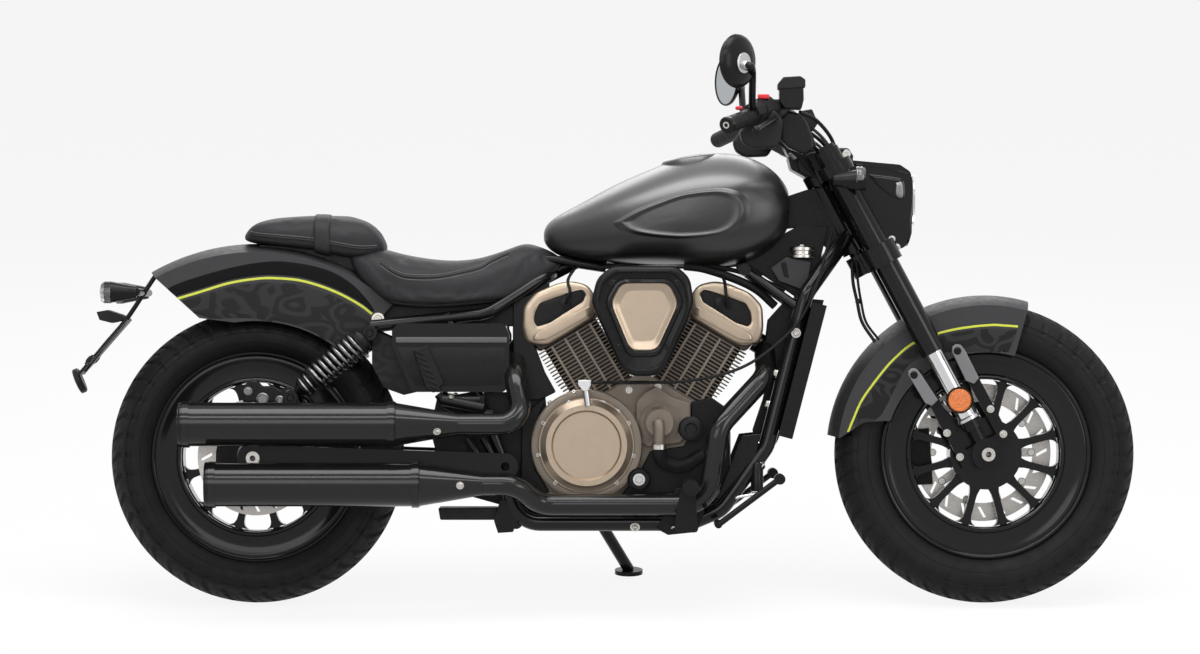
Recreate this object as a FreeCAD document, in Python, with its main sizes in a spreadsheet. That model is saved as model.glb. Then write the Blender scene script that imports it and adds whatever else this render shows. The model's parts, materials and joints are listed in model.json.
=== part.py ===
import FreeCAD, Part
import math
import os

import Sketcher

# Cruiser motorcycle, in millimetres.
# It is drawn upright: X forward, Y to the left, Z up, the origin on the ground in the mid plane.
# The parking placement then leans it to the left until it rests on its side stand.

Vector = FreeCAD.Vector
Rotation = FreeCAD.Rotation
Placement = FreeCAD.Placement

ALONG_X = Vector(1, 0, 0)
ALONG_Y = Vector(0, 1, 0)
ALONG_Z = Vector(0, 0, 1)

SIZES = {
    # the whole machine
    "wheelbase": 1524,
    "front_axle_x": 806,
    "rake": 28,
    "lean": 10,
    "seat_gap": 0.3,
    "running_fit": 0.05,
    "joint_gap": 6,
    "cut_overrun": 4,
    # wheels
    "front_radius": 314,
    "front_tyre_width": 130,
    "front_crown": 75,
    "rear_radius": 307,
    "rear_tyre_width": 156,
    "rear_crown": 90,
    "rim_seat_radius": 203,
    "rim_flange_height": 15,
    "rim_flange_thickness": 7,
    "rim_inner_radius": 155,
    "rim_lip": 12,
    "front_rim_width": 89,
    "rear_rim_width": 108,
    "hub_radius": 75,
    "hub_width": 112,
    "hub_shoulder": 10,
    "spoke_width": 15,
    "spoke_depth": 34,
    "spoke_count": 12,
    "axle_radius": 10,
    "axle_bore_radius": 6,
    "axle_nut_radius": 14,
    "axle_nut_length": 10,
    # brakes
    "disc_thickness": 5,
    "front_disc_radius": 145,
    "rear_disc_radius": 122,
    "disc_ring_width": 38,
    "disc_arm_width": 18,
    "disc_arm_count": 5,
    "disc_slot_width": 6,
    "disc_slot_length": 22,
    "disc_slot_count": 20,
    "caliper_length": 118,
    "caliper_height": 52,
    "caliper_depth": 56,
    "caliper_groove": 7.6,
    # fork and steering head
    "fork_offset": 40,
    "fork_spacing": 214,
    "fork_cover_radius": 26,
    "fork_cover_start": 240,
    "fork_cover_rise": 44,
    "fork_cap_height": 9,
    "fork_cap_radius": 21,
    "stanchion_radius": 19,
    "stanchion_start": 60,
    "knuckle_radius": 34,
    "knuckle_depth": 30,
    "reflector_radius": 27,
    "reflector_along": 128,
    "lower_clamp_along": 470,
    "lower_clamp_height": 44,
    "clamp_spacing": 202,
    "upper_clamp_height": 26,
    "clamp_wall": 11,
    "clamp_web": 52,
    "stem_radius": 15,
    "head_tube_radius": 27,
    "head_tube_gap": 8,
    # front fender
    "fender_thickness": 4,
    "front_fender_gap": 13,
    "front_fender_inner_width": 148,
    "front_fender_skirt": 212,
    "front_fender_ahead": 16,
    "front_fender_behind": 84,
    "strut_width": 15,
    "strut_thickness": 6,
    "strut_ahead": 47,
    "strut_top": 222,
    "arm_top": 162,
    "arm_width": 23,
    "arm_thickness": 14,
    # lamps
    "headlight_height": 187,
    "headlight_length": 139,
    "headlight_width": 148,
    "headlight_drop": 48,
    "headlight_corner": 14,
    "headlight_mount_radius": 12,
    "lens_radius": 54,
    "lens_depth": 6,
    "signal_radius": 22,
    "signal_length": 73,
    "front_signal_side": 158,
    "front_signal_drop": 32,
    "rear_signal_side": 140,
    "tail_reach": 62,
    "tail_drop": 96,
    "signal_stalk_radius": 8,
    # handlebar
    "bar_radius": 11,
    "bar_clamp_rise": 105,
    "bar_clamp_ahead": -33,
    "bar_half_width": 398,
    "bar_centre_half": 52,
    "bar_rise": 46,
    "bar_sweep": 108,
    "bar_end_back": 150,
    "bar_end_rise": 4,
    "grip_radius": 17,
    "grip_length": 118,
    "riser_radius": 17,
    "riser_side": 42,
    "switch_radius": 24,
    "switch_length": 40,
    "lever_radius": 6,
    "lever_reach": 62,
    "lever_length": 150,
    "reservoir_width": 64,
    "reservoir_height": 40,
    "reservoir_depth": 46,
    "mirror_radius": 55,
    "mirror_thickness": 15,
    "mirror_ahead": 17,
    "mirror_rise": 127,
    "mirror_side": 412,
    "mirror_stem_radius": 6,
    # frame
    "frame_tube_radius": 17,
    "brace_z": 698,
    "brace_radius": 10,
    "rail_tube_radius": 13,
    "rear_leg_radius": 11,
    "down_tube_side": 106,
    "down_shoulder_x": 428,
    "down_shoulder_z": 646,
    "down_shoulder_side": 86,
    "down_knee_x": 346,
    "down_knee_z": 330,
    "cradle_side": 118,
    "cradle_z": 172,
    "swing_pivot_x": -196,
    "swing_pivot_z": 290,
    "swing_pivot_radius": 22,
    "swing_pin_radius": 9,
    "swing_arm_side": 147,
    "swing_arm_height": 54,
    "swing_arm_width": 20,
    "shock_side": 155,
    "shock_top_x": -476,
    "shock_top_z": 566,
    "shock_bottom_x": -640,
    "shock_bottom_z": 432,
    "shock_body_radius": 20,
    "shock_coil_radius": 29,
    "shock_wire_radius": 4,
    "shock_coils": 8,
    "shock_eye_radius": 14,
    "shock_eye_width": 24,
    "shock_pin_radius": 6,
    # engine
    "crank_x": 89,
    "crank_z": 312,
    "v_half_angle": 31,
    "case_half_width": 78,
    "case_bottom": 180,
    "cylinder_start": 150,
    "cylinder_radius": 60,
    "cylinder_neck": 60,
    "fin_count": 8,
    "fin_pitch": 11,
    "fin_thickness": 4,
    "fin_length": 154,
    "fin_width": 150,
    "head_length": 158,
    "head_width": 148,
    "head_height": 90,
    "head_corner": 22,
    "cover_length": 172,
    "cover_height": 94,
    "cover_corner": 9,
    "cover_thickness": 16,
    "clutch_x": -28,
    "clutch_z": 333,
    "clutch_radius": 96,
    "clutch_ring_radius": 116,
    "clutch_depth": 68,
    "clutch_ring_depth": 44,
    "pump_x": 124,
    "pump_z": 380,
    "pump_radius": 40,
    "pump_depth": 60,
    "left_cover_radius": 108,
    "left_cover_depth": 36,
    # air cleaner
    "air_x": 89,
    "air_z": 596,
    "air_width": 168,
    "air_height": 208,
    "air_depth": 78,
    "air_face_y": -214,
    "air_inset_share": 0.66,
    "air_inset_height": 8,
    # tank
    "tank_front_gap": 61,
    "tank_bottom_z": 711,
    "tank_length": 512,
    "tank_height": 232,
    "tank_width": 288,
    "cap_radius": 34,
    "cap_height": 10,
    # seats and body
    "seat_front_gap": 6,
    "rider_seat_length": 352,
    "rider_seat_width": 300,
    "rider_seat_height": 84,
    "rider_seat_z": 640,
    "pillion_length": 288,
    "pillion_width": 196,
    "pillion_height": 130,
    "pillion_drop": 70,
    "pillion_behind": 24,
    "rear_fender_radius": 446,
    "rear_fender_width": 196,
    "rear_fender_skirt": 284,
    "rear_fender_behind": 30,
    "rear_fender_ahead": 42,
    "side_cover_length": 243,
    "side_cover_height": 142,
    "side_cover_thickness": 18,
    "side_cover_x": -431,
    "side_cover_z": 444,
    "radiator_width": 260,
    "radiator_height": 286,
    "radiator_depth": 30,
    "radiator_z": 496,
    "radiator_tank": 22,
    # exhaust
    "pipe_radius": 22,
    "pipe_bend": 60,
    "muffler_side": 206,
    "muffler_radius": 45,
    "upper_muffler_z": 378,
    "upper_muffler_start": -868,
    "upper_muffler_end": -424,
    "lower_muffler_z": 254,
    "lower_muffler_start": -814,
    "lower_muffler_end": -374,
    "muffler_cone": 132,
    "muffler_band": 14,
    "muffler_wall": 3,
    "muffler_cap_depth": 20,
    # feet, stand and small parts
    "peg_x": 186,
    "peg_z": 250,
    "peg_radius": 17,
    "peg_length": 108,
    "peg_side": 198,
    "peg_plate_thickness": 9,
    "pedal_width": 16,
    "stand_pivot_x": -20,
    "stand_pivot_side": 150,
    "stand_pivot_z": 196,
    "stand_foot_x": 62,
    "stand_foot_side": 276,
    "stand_leg_radius": 12,
    "stand_eye_radius": 20,
    "stand_eye_width": 26,
    "stand_pin_radius": 7,
    "stand_foot_radius": 30,
    "stand_foot_thickness": 9,
    "belt_width": 14,
    "belt_thickness": 6,
    "belt_side": 91,
    "front_pulley_radius": 42,
    "rear_pulley_radius": 92,
    "plate_slope": 56,
    "plate_width": 180,
    "plate_height": 150,
    "plate_thickness": 3,
    "plate_hole_radius": 3.5,
    "plate_hole_spacing": 150,
}

doc = FreeCAD.newDocument("Cruiser")
sheet = doc.addObject("Spreadsheet::Sheet", "Sizes")
for row, (alias, number) in enumerate(SIZES.items(), start=1):
    sheet.set(f"A{row}", alias)
    sheet.set(f"B{row}", str(number))
    sheet.setAlias(f"B{row}", alias)
doc.recompute()


class Size:
    """A number, kept with the sheet expression that gives it."""

    def __init__(self, value, text):
        self.value = float(value)
        self.text = text

    def __float__(self):
        return self.value

    def __neg__(self):
        return Size(-self.value, f"(-{self.text})")

    def __add__(self, other):
        other = as_size(other)
        return Size(self.value + other.value, f"({self.text} + {other.text})")

    def __sub__(self, other):
        other = as_size(other)
        return Size(self.value - other.value, f"({self.text} - {other.text})")

    def __mul__(self, other):
        other = as_size(other)
        return Size(self.value * other.value, f"({self.text} * {other.text})")

    def __truediv__(self, other):
        other = as_size(other)
        return Size(self.value / other.value, f"({self.text} / {other.text})")

    __radd__ = __add__
    __rmul__ = __mul__

    def __rsub__(self, other):
        return as_size(other) - self

    def __rtruediv__(self, other):
        return as_size(other) / self


def as_size(number):
    return number if isinstance(number, Size) else Size(number, repr(float(number)))


def cos(angle):
    return Size(math.cos(math.radians(float(angle))), f"cos({as_size(angle).text})")


def sin(angle):
    return Size(math.sin(math.radians(float(angle))), f"sin({as_size(angle).text})")


def tan(angle):
    return Size(math.tan(math.radians(float(angle))), f"tan({as_size(angle).text})")


class Sheet:
    """Reads a named size of the sheet as a Size."""

    def __getattr__(self, alias):
        return Size(SIZES[alias], f"Sizes.{alias}")


s = Sheet()


def at(x, y, z):
    return Vector(float(x), float(y), float(z))


def bind(item, **sizes):
    """Ties properties of a feature to the sheet."""
    for name, size in sizes.items():
        item.setExpression(name, as_size(size).text)
    return item


# places that several pieces share

rear_axle_x = s.front_axle_x - s.wheelbase
# the rounder tyre drops a little less when the machine leans, so its axle sits that much higher
front_axle_z = s.front_radius
rear_axle_z = s.rear_radius + (s.rear_crown - s.front_crown) * (1 - cos(s.lean))
front_axle = at(s.front_axle_x, 0, front_axle_z)
rear_axle = at(rear_axle_x, 0, rear_axle_z)
fork_up = at(-sin(s.rake), 0, cos(s.rake))
fork_ahead = at(cos(s.rake), 0, sin(s.rake))


def on_fork(along, ahead=0, side=0):
    """A place given by its distance up the fork legs from the axle, ahead of them and to the left."""
    return front_axle + fork_up * float(along) + fork_ahead * float(ahead) + ALONG_Y * float(side)


upper_clamp_along = s.lower_clamp_along + s.clamp_spacing
bar_clamp_along = upper_clamp_along + s.bar_clamp_rise
bar_clamp = on_fork(bar_clamp_along, s.bar_clamp_ahead)
tank_front_x = on_fork(upper_clamp_along, -s.fork_offset).x - float(s.tank_front_gap)
tank_rear_x = tank_front_x - float(s.tank_length)


def ground_height(y):
    """Height of the floor under the leaning machine, at a distance to the left of its mid plane."""
    return y * tan(s.lean) - s.front_crown * (1 - cos(s.lean)) / cos(s.lean)


stand_pivot = at(s.stand_pivot_x, s.stand_pivot_side, s.stand_pivot_z)
stand_foot = at(s.stand_foot_x, s.stand_foot_side, ground_height(s.stand_foot_side))
floor_normal = at(0, -sin(s.lean), cos(s.lean))
stand_reach = (stand_foot - stand_pivot).normalize()
stand_folded = Vector(-1, 0.1, 0.05).normalize()
stand_axis = stand_reach.cross(stand_folded).normalize()

# makers of features


def primitive(kind, name, origin, axis=ALONG_Z, **sizes):
    """A Part primitive whose own Z axis points along the given one."""
    item = doc.addObject(f"Part::{kind}", name)
    bind(item, **sizes)
    item.Placement = Placement(origin, Rotation(ALONG_Z, axis))
    return item


def cylinder(name, origin, axis, radius, height):
    return primitive("Cylinder", name, origin, axis, Radius=radius, Height=height)


def rod(name, start, end, radius):
    """A round bar from one place to another."""
    item = doc.addObject("Part::Cylinder", name)
    bind(item, Radius=radius)
    item.Height = (end - start).Length
    item.Placement = Placement(start, Rotation(ALONG_Z, end - start))
    return item


def cross_pin(name, centre, radius, length):
    """A cylinder across the machine, centred on a place."""
    return cylinder(name, centre - ALONG_Y * float(length / 2), ALONG_Y, radius, length)


def block(name, centre, length, width, height, rotation=None):
    """A box centred on a place, length along X before it is turned."""
    item = doc.addObject("Part::Box", name)
    bind(item, Length=length, Width=width, Height=height)
    half = at(length / 2, width / 2, height / 2)
    turn = rotation or Rotation()
    item.Placement = Placement(centre - turn.multVec(half), turn)
    return item


def joined(name, *items):
    fuse = doc.addObject("Part::MultiFuse", name)
    fuse.Shapes = list(items)
    return fuse


def apart(name, *items):
    """Solids that share a node and don't touch."""
    group = doc.addObject("Part::Compound", name)
    group.Links = list(items)
    return group


def without(name, base, *tools):
    cut = doc.addObject("Part::Cut", name)
    cut.Base = base
    cut.Tool = tools[0] if len(tools) == 1 else joined(name + "_tools", *tools)
    return cut


def mirrored(name, item):
    mirror = doc.addObject("Part::Mirroring", name)
    mirror.Source = item
    mirror.Normal = ALONG_Y
    return mirror


def both_sides(name, item):
    return apart(name, item, mirrored(name + "_other", item))


def rounded_wire(points, radii):
    """A closed wire through places in order, with its corners rounded by tangent arcs."""
    edges = []
    starts = []
    ends = []
    for i, corner in enumerate(points):
        before = points[i - 1] - corner
        after = points[(i + 1) % len(points)] - corner
        half_turn = before.getAngle(after) / 2
        reach = float(radii[i]) / math.tan(half_turn)
        reach = min(reach, 0.48 * min(before.Length, after.Length))
        starts.append(corner + before.normalize() * reach)
        ends.append(corner + after.normalize() * reach)
        if reach > 0:
            radius = reach * math.tan(half_turn)
            inward = (before + after).normalize()
            middle = corner + inward * (radius / math.sin(half_turn) - radius)
            edges.append(Part.Arc(starts[i], middle, ends[i]).toShape())
        edges.append(None)
    ready = []
    i = 0
    for edge in edges:
        if edge is None:
            ready.append(Part.LineSegment(ends[i], starts[(i + 1) % len(points)]).toShape())
            i += 1
        else:
            ready.append(edge)
    return Part.Wire(ready)


def side_outline(name, x, z, length, height, shares, radius=0):
    """A closed side view outline, its corners given as shares of a length and a height."""
    outline = doc.addObject("Part::Feature", name)
    points = [at(x + length * across, 0, z + height * up) for across, up in shares]
    outline.Shape = rounded_wire(points, [radius] * len(points))
    return outline


def slab(name, outline, thickness, side=0):
    """A side view outline given its thickness across the machine."""
    item = doc.addObject("Part::Extrusion", name)
    item.Base = outline
    item.DirMode = "Custom"
    item.Dir = ALONG_Y
    item.Solid = True
    item.Symmetric = True
    bind(item, LengthFwd=thickness)
    item.Placement = Placement(at(0, side, 0), Rotation())
    return item


def turned(name, wire, base, axis, angle=360):
    """A solid of revolution of a closed wire."""
    profile = doc.addObject("Part::Feature", name + "_profile")
    profile.Shape = wire
    item = doc.addObject("Part::Revolution", name)
    item.Source = profile
    item.Base = base
    item.Axis = axis
    item.Solid = True
    item.Angle = float(angle)
    return item


def bent_rod(name, points, radius, bend):
    """A round bar along straight runs joined by tangent arcs."""
    path = doc.addObject("Part::Feature", name + "_path")
    edges = []
    start = points[0]
    for before, corner, after in zip(points, points[1:], points[2:]):
        back = before - corner
        ahead = after - corner
        half_turn = back.getAngle(ahead) / 2
        reach = min(float(bend) / math.tan(half_turn), 0.48 * min(back.Length, ahead.Length))
        arc_radius = reach * math.tan(half_turn)
        back.normalize()
        ahead.normalize()
        middle = corner + (back + ahead).normalize() * (arc_radius / math.sin(half_turn) - arc_radius)
        edges.append(Part.LineSegment(start, corner + back * reach).toShape())
        edges.append(Part.Arc(corner + back * reach, middle, corner + ahead * reach).toShape())
        start = corner + ahead * reach
    edges.append(Part.LineSegment(start, points[-1]).toShape())
    path.Shape = Part.Wire(edges)
    ring = doc.addObject("Part::Circle", name + "_ring")
    bind(ring, Radius=radius)
    ring.Placement = Placement(points[0], Rotation(ALONG_Z, points[1] - points[0]))
    item = doc.addObject("Part::Sweep", name)
    item.Sections = [ring]
    item.Spine = (path, [])
    item.Solid = True
    item.Frenet = False
    return item


def origin_feature(body, role):
    return next(item for item in body.Origin.OriginFeatures if item.Role == role)


def sketch_on(body, role, name):
    sketch = body.newObject("Sketcher::SketchObject", name)
    sketch.AttachmentSupport = [(origin_feature(body, role), "")]
    sketch.MapMode = "FlatFace"
    return sketch


def draw_polygon(sketch, points):
    """A closed outline whose corners are bound to the sheet."""
    places = [at(x, y, 0) for x, y in points]
    first = sketch.GeometryCount
    for i, place in enumerate(places):
        sketch.addGeometry(Part.LineSegment(place, places[(i + 1) % len(places)]), False)
    for i in range(len(places)):
        following = first + (i + 1) % len(places)
        sketch.addConstraint(Sketcher.Constraint("Coincident", first + i, 2, following, 1))
    for i, (x, y) in enumerate(points):
        for kind, size in (("DistanceX", x), ("DistanceY", y)):
            index = sketch.addConstraint(
                Sketcher.Constraint(kind, -1, 1, first + i, 1, float(size))
            )
            sketch.setExpression(f"Constraints[{index}]", as_size(size).text)
    return sketch


def revolve(body, name, points):
    """Turns a half section, drawn as radius and width, about the body's own Y axis."""
    sketch = draw_polygon(sketch_on(body, "XY_Plane", name + "_section"), points)
    feature = body.newObject("PartDesign::Revolution", name)
    feature.Profile = sketch
    feature.ReferenceAxis = (sketch, ["V_Axis"])
    feature.Angle = 360
    sketch.Visibility = False
    return feature


def pad(body, name, sketch, thickness):
    feature = body.newObject("PartDesign::Pad", name)
    feature.Profile = sketch
    feature.SideType = "Symmetric"
    bind(feature, Length=thickness)
    return feature


def pocket(body, name, sketch, thickness):
    feature = body.newObject("PartDesign::Pocket", name)
    feature.Profile = sketch
    feature.SideType = "Symmetric"
    bind(feature, Length=thickness)
    return feature


def around(body, name, feature, count):
    """Repeats a feature evenly about the body's own Y axis."""
    pattern = body.newObject("PartDesign::PolarPattern", name)
    pattern.Originals = [feature]
    pattern.Axis = (origin_feature(body, "Y_Axis"), [""])
    pattern.Angle = 360
    bind(pattern, Occurrences=count)
    body.Tip = pattern
    return pattern


def loft(name, wires, ruled=False):
    """A solid through closed sections."""
    item = doc.addObject("Part::Feature", name)
    item.Shape = Part.makeLoft(wires, True, ruled)
    return item


def hoop(x, half_width, low, high, top_share, belly_share):
    """A closed smooth cross section: crowned on top, fullest at the belly height, flat below."""
    x, half_width, low, high = (float(size) for size in (x, half_width, low, high))
    height = high - low
    belly = low + height * belly_share
    points = [
        Vector(x, 0, high),
        Vector(x, half_width * top_share, high - height * 0.08),
        Vector(x, half_width * 0.9, belly + (high - belly) * 0.5),
        Vector(x, half_width, belly),
        Vector(x, half_width * 0.86, low + height * 0.1),
        Vector(x, half_width * 0.5, low),
    ]
    other = [Vector(x, -point.y, point.z) for point in reversed(points[1:])]
    curve = Part.BSplineCurve()
    curve.interpolate(Points=points + other, PeriodicFlag=True)
    return Part.Wire([curve.toShape()])


NODES = {}
# places where joints turn and other things fasten, each with its direction
PLACES = {}


def node(label, item):
    """Names a finished sub-part."""
    item.Label = label
    NODES[label] = item
    return item


# wheels


def tyre(label, axle, radius, width, crown, rim_width):
    """A tyre section: beads inside the rim flanges, bulged walls and a round crown."""
    radius, width, crown, rim_width = (float(size) for size in (radius, width, crown, rim_width))
    gap = float(s.seat_gap)
    bead = rim_width / 2 - float(s.rim_flange_thickness) - gap
    inner = float(s.rim_seat_radius) + gap
    flange = float(s.rim_seat_radius + s.rim_flange_height) + gap
    shoulder = width / 2 * 0.74
    drop = crown - math.sqrt(crown**2 - shoulder**2)
    wall = flange + (radius - flange) * 0.42

    def spot(side, reach):
        return axle + Vector(0, side, reach)

    edges = [
        Part.LineSegment(spot(bead, inner), spot(-bead, inner)).toShape(),
        Part.LineSegment(spot(-bead, inner), spot(-bead, flange)).toShape(),
        Part.Arc(spot(-bead, flange), spot(-width / 2, wall), spot(-shoulder, radius - drop)).toShape(),
        Part.Arc(spot(-shoulder, radius - drop), spot(0, radius), spot(shoulder, radius - drop)).toShape(),
        Part.Arc(spot(shoulder, radius - drop), spot(width / 2, wall), spot(bead, flange)).toShape(),
        Part.LineSegment(spot(bead, flange), spot(bead, inner)).toShape(),
    ]
    return node(label, turned(label, Part.Wire(edges), axle, ALONG_Y))


def rim(label, axle, width):
    """A cast wheel: hub, spokes and a deep well, all one casting."""
    body = doc.addObject("PartDesign::Body", label)
    bore = s.axle_radius + s.running_fit
    half = s.hub_width / 2
    revolve(
        body,
        label + "_hub",
        [
            (bore, half + s.hub_shoulder),
            (s.axle_nut_radius * 2, half + s.hub_shoulder),
            (s.axle_nut_radius * 2, half),
            (s.hub_radius, half),
            (s.hub_radius, -half),
            (s.axle_nut_radius * 2, -half),
            (s.axle_nut_radius * 2, -half - s.hub_shoulder),
            (bore, -half - s.hub_shoulder),
        ],
    )
    half_spoke = s.spoke_width / 2
    start = s.hub_radius - s.rim_lip
    end = s.rim_inner_radius + s.rim_lip
    arm = draw_polygon(
        sketch_on(body, "XZ_Plane", label + "_spoke_sketch"),
        [(start, -half_spoke), (end, -half_spoke), (end, half_spoke), (start, half_spoke)],
    )
    spoke = pad(body, label + "_spoke", arm, s.spoke_depth)
    around(body, label + "_spokes", spoke, s.spoke_count)
    half = width / 2
    bed = half - s.rim_flange_thickness
    top = s.rim_seat_radius + s.rim_flange_height
    revolve(
        body,
        label + "_well",
        [
            (top, half),
            (s.rim_seat_radius - s.rim_lip, half),
            (s.rim_inner_radius, half - s.rim_lip * 2),
            (s.rim_inner_radius, -half + s.rim_lip * 2),
            (s.rim_seat_radius - s.rim_lip, -half),
            (top, -half),
            (top, -bed),
            (s.rim_seat_radius, -bed),
            (s.rim_seat_radius, bed),
            (top, bed),
        ],
    )
    turn = Rotation(ALONG_Y, float(180 / s.spoke_count))
    body.Placement = Placement(axle, turn)
    return node(label, body)


def disc(label, axle, side, radius):
    """A slotted brake ring on a carrier with arms."""
    body = doc.addObject("PartDesign::Body", label)
    inner = radius - s.disc_ring_width
    half = s.disc_thickness / 2
    revolve(body, label + "_ring", [(inner, half), (radius, half), (radius, -half), (inner, -half)])
    carrier = s.axle_nut_radius * 2 + s.seat_gap
    boss = s.hub_radius - s.rim_lip
    arm_half = s.disc_arm_width / 2
    reach = inner + s.disc_arm_width / 3
    arm_sketch = draw_polygon(
        sketch_on(body, "XZ_Plane", label + "_arm_sketch"),
        [
            (boss - s.disc_arm_width, -arm_half),
            (reach, -arm_half),
            (reach, arm_half),
            (boss - s.disc_arm_width, arm_half),
        ],
    )
    arm = pad(body, label + "_arm", arm_sketch, s.disc_thickness)
    around(body, label + "_arms", arm, s.disc_arm_count)
    half = s.disc_thickness / 2
    revolve(body, label + "_carrier", [(carrier, half), (boss, half), (boss, -half), (carrier, -half)])
    slot_half = s.disc_slot_width / 2
    slot_start = inner + (s.disc_ring_width - s.disc_slot_length) / 2
    lean_over = s.disc_slot_width
    slot_sketch = draw_polygon(
        sketch_on(body, "XZ_Plane", label + "_slot_sketch"),
        [
            (slot_start, -slot_half - lean_over),
            (slot_start + s.disc_slot_length, -slot_half + lean_over),
            (slot_start + s.disc_slot_length, slot_half + lean_over),
            (slot_start, slot_half - lean_over),
        ],
    )
    slot = pocket(body, label + "_slot", slot_sketch, s.disc_thickness * 3)
    around(body, label + "_slots", slot, s.disc_slot_count)
    body.Placement = Placement(axle + ALONG_Y * float(side), Rotation())
    return node(label, body)


front_disc_side = s.hub_width / 2 + s.disc_thickness / 2 + s.seat_gap
rear_disc_side = -front_disc_side
tyre("front_tyre", front_axle, s.front_radius, s.front_tyre_width, s.front_crown, s.front_rim_width)
tyre("rear_tyre", rear_axle, s.rear_radius, s.rear_tyre_width, s.rear_crown, s.rear_rim_width)
rim("front_rim", front_axle, s.front_rim_width)
rim("rear_rim", rear_axle, s.rear_rim_width)
disc("front_disc", front_axle, front_disc_side, s.front_disc_radius)
disc("rear_disc", rear_axle, rear_disc_side, s.rear_disc_radius)


def axle_pin(label, axle, length):
    """A hollow wheel axle with a nut on each end."""
    pin = cross_pin(label + "_pin", axle, s.axle_radius, length)
    nuts = []
    for name, side in (("_left", 1), ("_right", -1)):
        centre = axle + ALONG_Y * (side * float(length / 2 + s.axle_nut_length / 2))
        nuts.append(cross_pin(label + name, centre, s.axle_nut_radius, s.axle_nut_length))
    solid = joined(label + "_solid", pin, *nuts)
    bore = cross_pin(
        label + "_bore", axle, s.axle_bore_radius, length + s.axle_nut_length * 2 + s.cut_overrun
    )
    return node(label, without(label, solid, bore))


knuckle_outer = s.fork_spacing / 2 + s.knuckle_depth / 2
axle_pin("front_axle", front_axle, knuckle_outer * 2 + s.seat_gap * 2)
swing_outer = s.swing_arm_side + s.swing_arm_width / 2
axle_pin("rear_axle", rear_axle, swing_outer * 2 + s.seat_gap * 2)

# fork and steering


def fork_uppers():
    """The two outer fork tubes with their caps."""
    leg = cylinder(
        "fork_upper_tube",
        on_fork(s.fork_cover_start, side=-s.fork_spacing / 2),
        fork_up,
        s.fork_cover_radius,
        upper_clamp_along + s.fork_cover_rise - s.fork_cover_start,
    )
    cap = cylinder(
        "fork_cap",
        on_fork(upper_clamp_along + s.fork_cover_rise, side=-s.fork_spacing / 2),
        fork_up,
        s.fork_cap_radius,
        s.fork_cap_height,
    )
    return node("fork_uppers", both_sides("fork_uppers", joined("fork_upper", leg, cap)))


def fork_lowers():
    """Bright inner tubes that end in the axle knuckles."""
    side = -s.fork_spacing / 2
    tube = cylinder(
        "stanchion",
        on_fork(s.stanchion_start, side=side),
        fork_up,
        s.stanchion_radius,
        s.fork_cover_start - s.stanchion_start - s.seat_gap,
    )
    slider = cylinder(
        "slider",
        on_fork(s.knuckle_radius * 0.7, side=side),
        fork_up,
        s.knuckle_depth * 0.46,
        s.stanchion_start,
    )
    knuckle = cross_pin("knuckle", on_fork(0, side=side), s.knuckle_radius, s.knuckle_depth)
    bore = cross_pin(
        "knuckle_bore",
        on_fork(0, side=side),
        s.axle_radius + s.running_fit,
        s.knuckle_depth * 2,
    )
    lamp = cylinder(
        "reflector",
        on_fork(s.reflector_along, side=side - s.stanchion_radius - s.strut_thickness),
        ALONG_Y,
        s.reflector_radius,
        s.strut_thickness * 2,
    )
    turn = Rotation(ALONG_Y, -float(s.rake))
    arm_side = side + s.arm_thickness / 2
    web = block(
        "axle_web",
        on_fork(s.arm_width / 2, side=arm_side),
        s.strut_ahead * 2 + s.arm_width,
        s.arm_thickness,
        s.knuckle_radius,
        turn,
    )
    stays = []
    for tag, sign in (("rear", -1), ("front", 1)):
        middle = (s.arm_top + s.arm_width) / 2
        stays.append(
            block(
                "axle_arm_" + tag,
                on_fork(middle, sign * s.strut_ahead, arm_side),
                s.arm_width,
                s.arm_thickness,
                s.arm_top - s.arm_width / 2,
                turn,
            )
        )
        stay_side = side + s.arm_thickness + s.strut_thickness / 2
        stays.append(
            block(
                "fender_stay_" + tag,
                on_fork((s.strut_top + s.arm_top / 2) / 2, sign * s.strut_ahead, stay_side),
                s.strut_width,
                s.strut_thickness,
                s.strut_top - s.arm_top / 2,
                turn,
            )
        )
        inner_face = -(s.front_fender_inner_width / 2 + s.fender_thickness + s.seat_gap)
        foot = on_fork(s.strut_top - s.strut_width / 2, sign * s.strut_ahead)
        stays.append(
            rod(
                "fender_bolt_" + tag,
                foot + ALONG_Y * float(inner_face),
                foot + ALONG_Y * float(side + s.arm_thickness),
                s.strut_width * 0.45,
            )
        )
    solid = joined("fork_lower_solid", tube, slider, knuckle, lamp, web, *stays)
    leg = without("fork_lower", solid, bore)
    return node("fork_lowers", both_sides("fork_lowers", leg))


def clamp(name, along, height):
    """A clamp across the steering head that holds both fork legs."""
    centre = on_fork(along, ahead=-s.clamp_web * 0.3)
    turn = Rotation(ALONG_Y, -float(s.rake))
    web = block(name + "_web", centre, s.clamp_web, s.fork_spacing, height, turn)
    boss = cylinder(
        name + "_boss",
        on_fork(along - height / 2, ahead=-s.fork_offset),
        fork_up,
        s.head_tube_radius,
        height,
    )
    rings = []
    bores = []
    for tag, side in (("_right", -1), ("_left", 1)):
        low = on_fork(along - height / 2, side=side * s.fork_spacing / 2)
        over = on_fork(along - height, side=side * s.fork_spacing / 2)
        rings.append(
            cylinder(name + tag, low, fork_up, s.fork_cover_radius + s.clamp_wall, height)
        )
        bores.append(
            cylinder(
                name + tag + "_bore", over, fork_up, s.fork_cover_radius + s.seat_gap, height * 2
            )
        )
    return without(name, joined(name + "_solid", web, boss, *rings), *bores)


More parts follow.
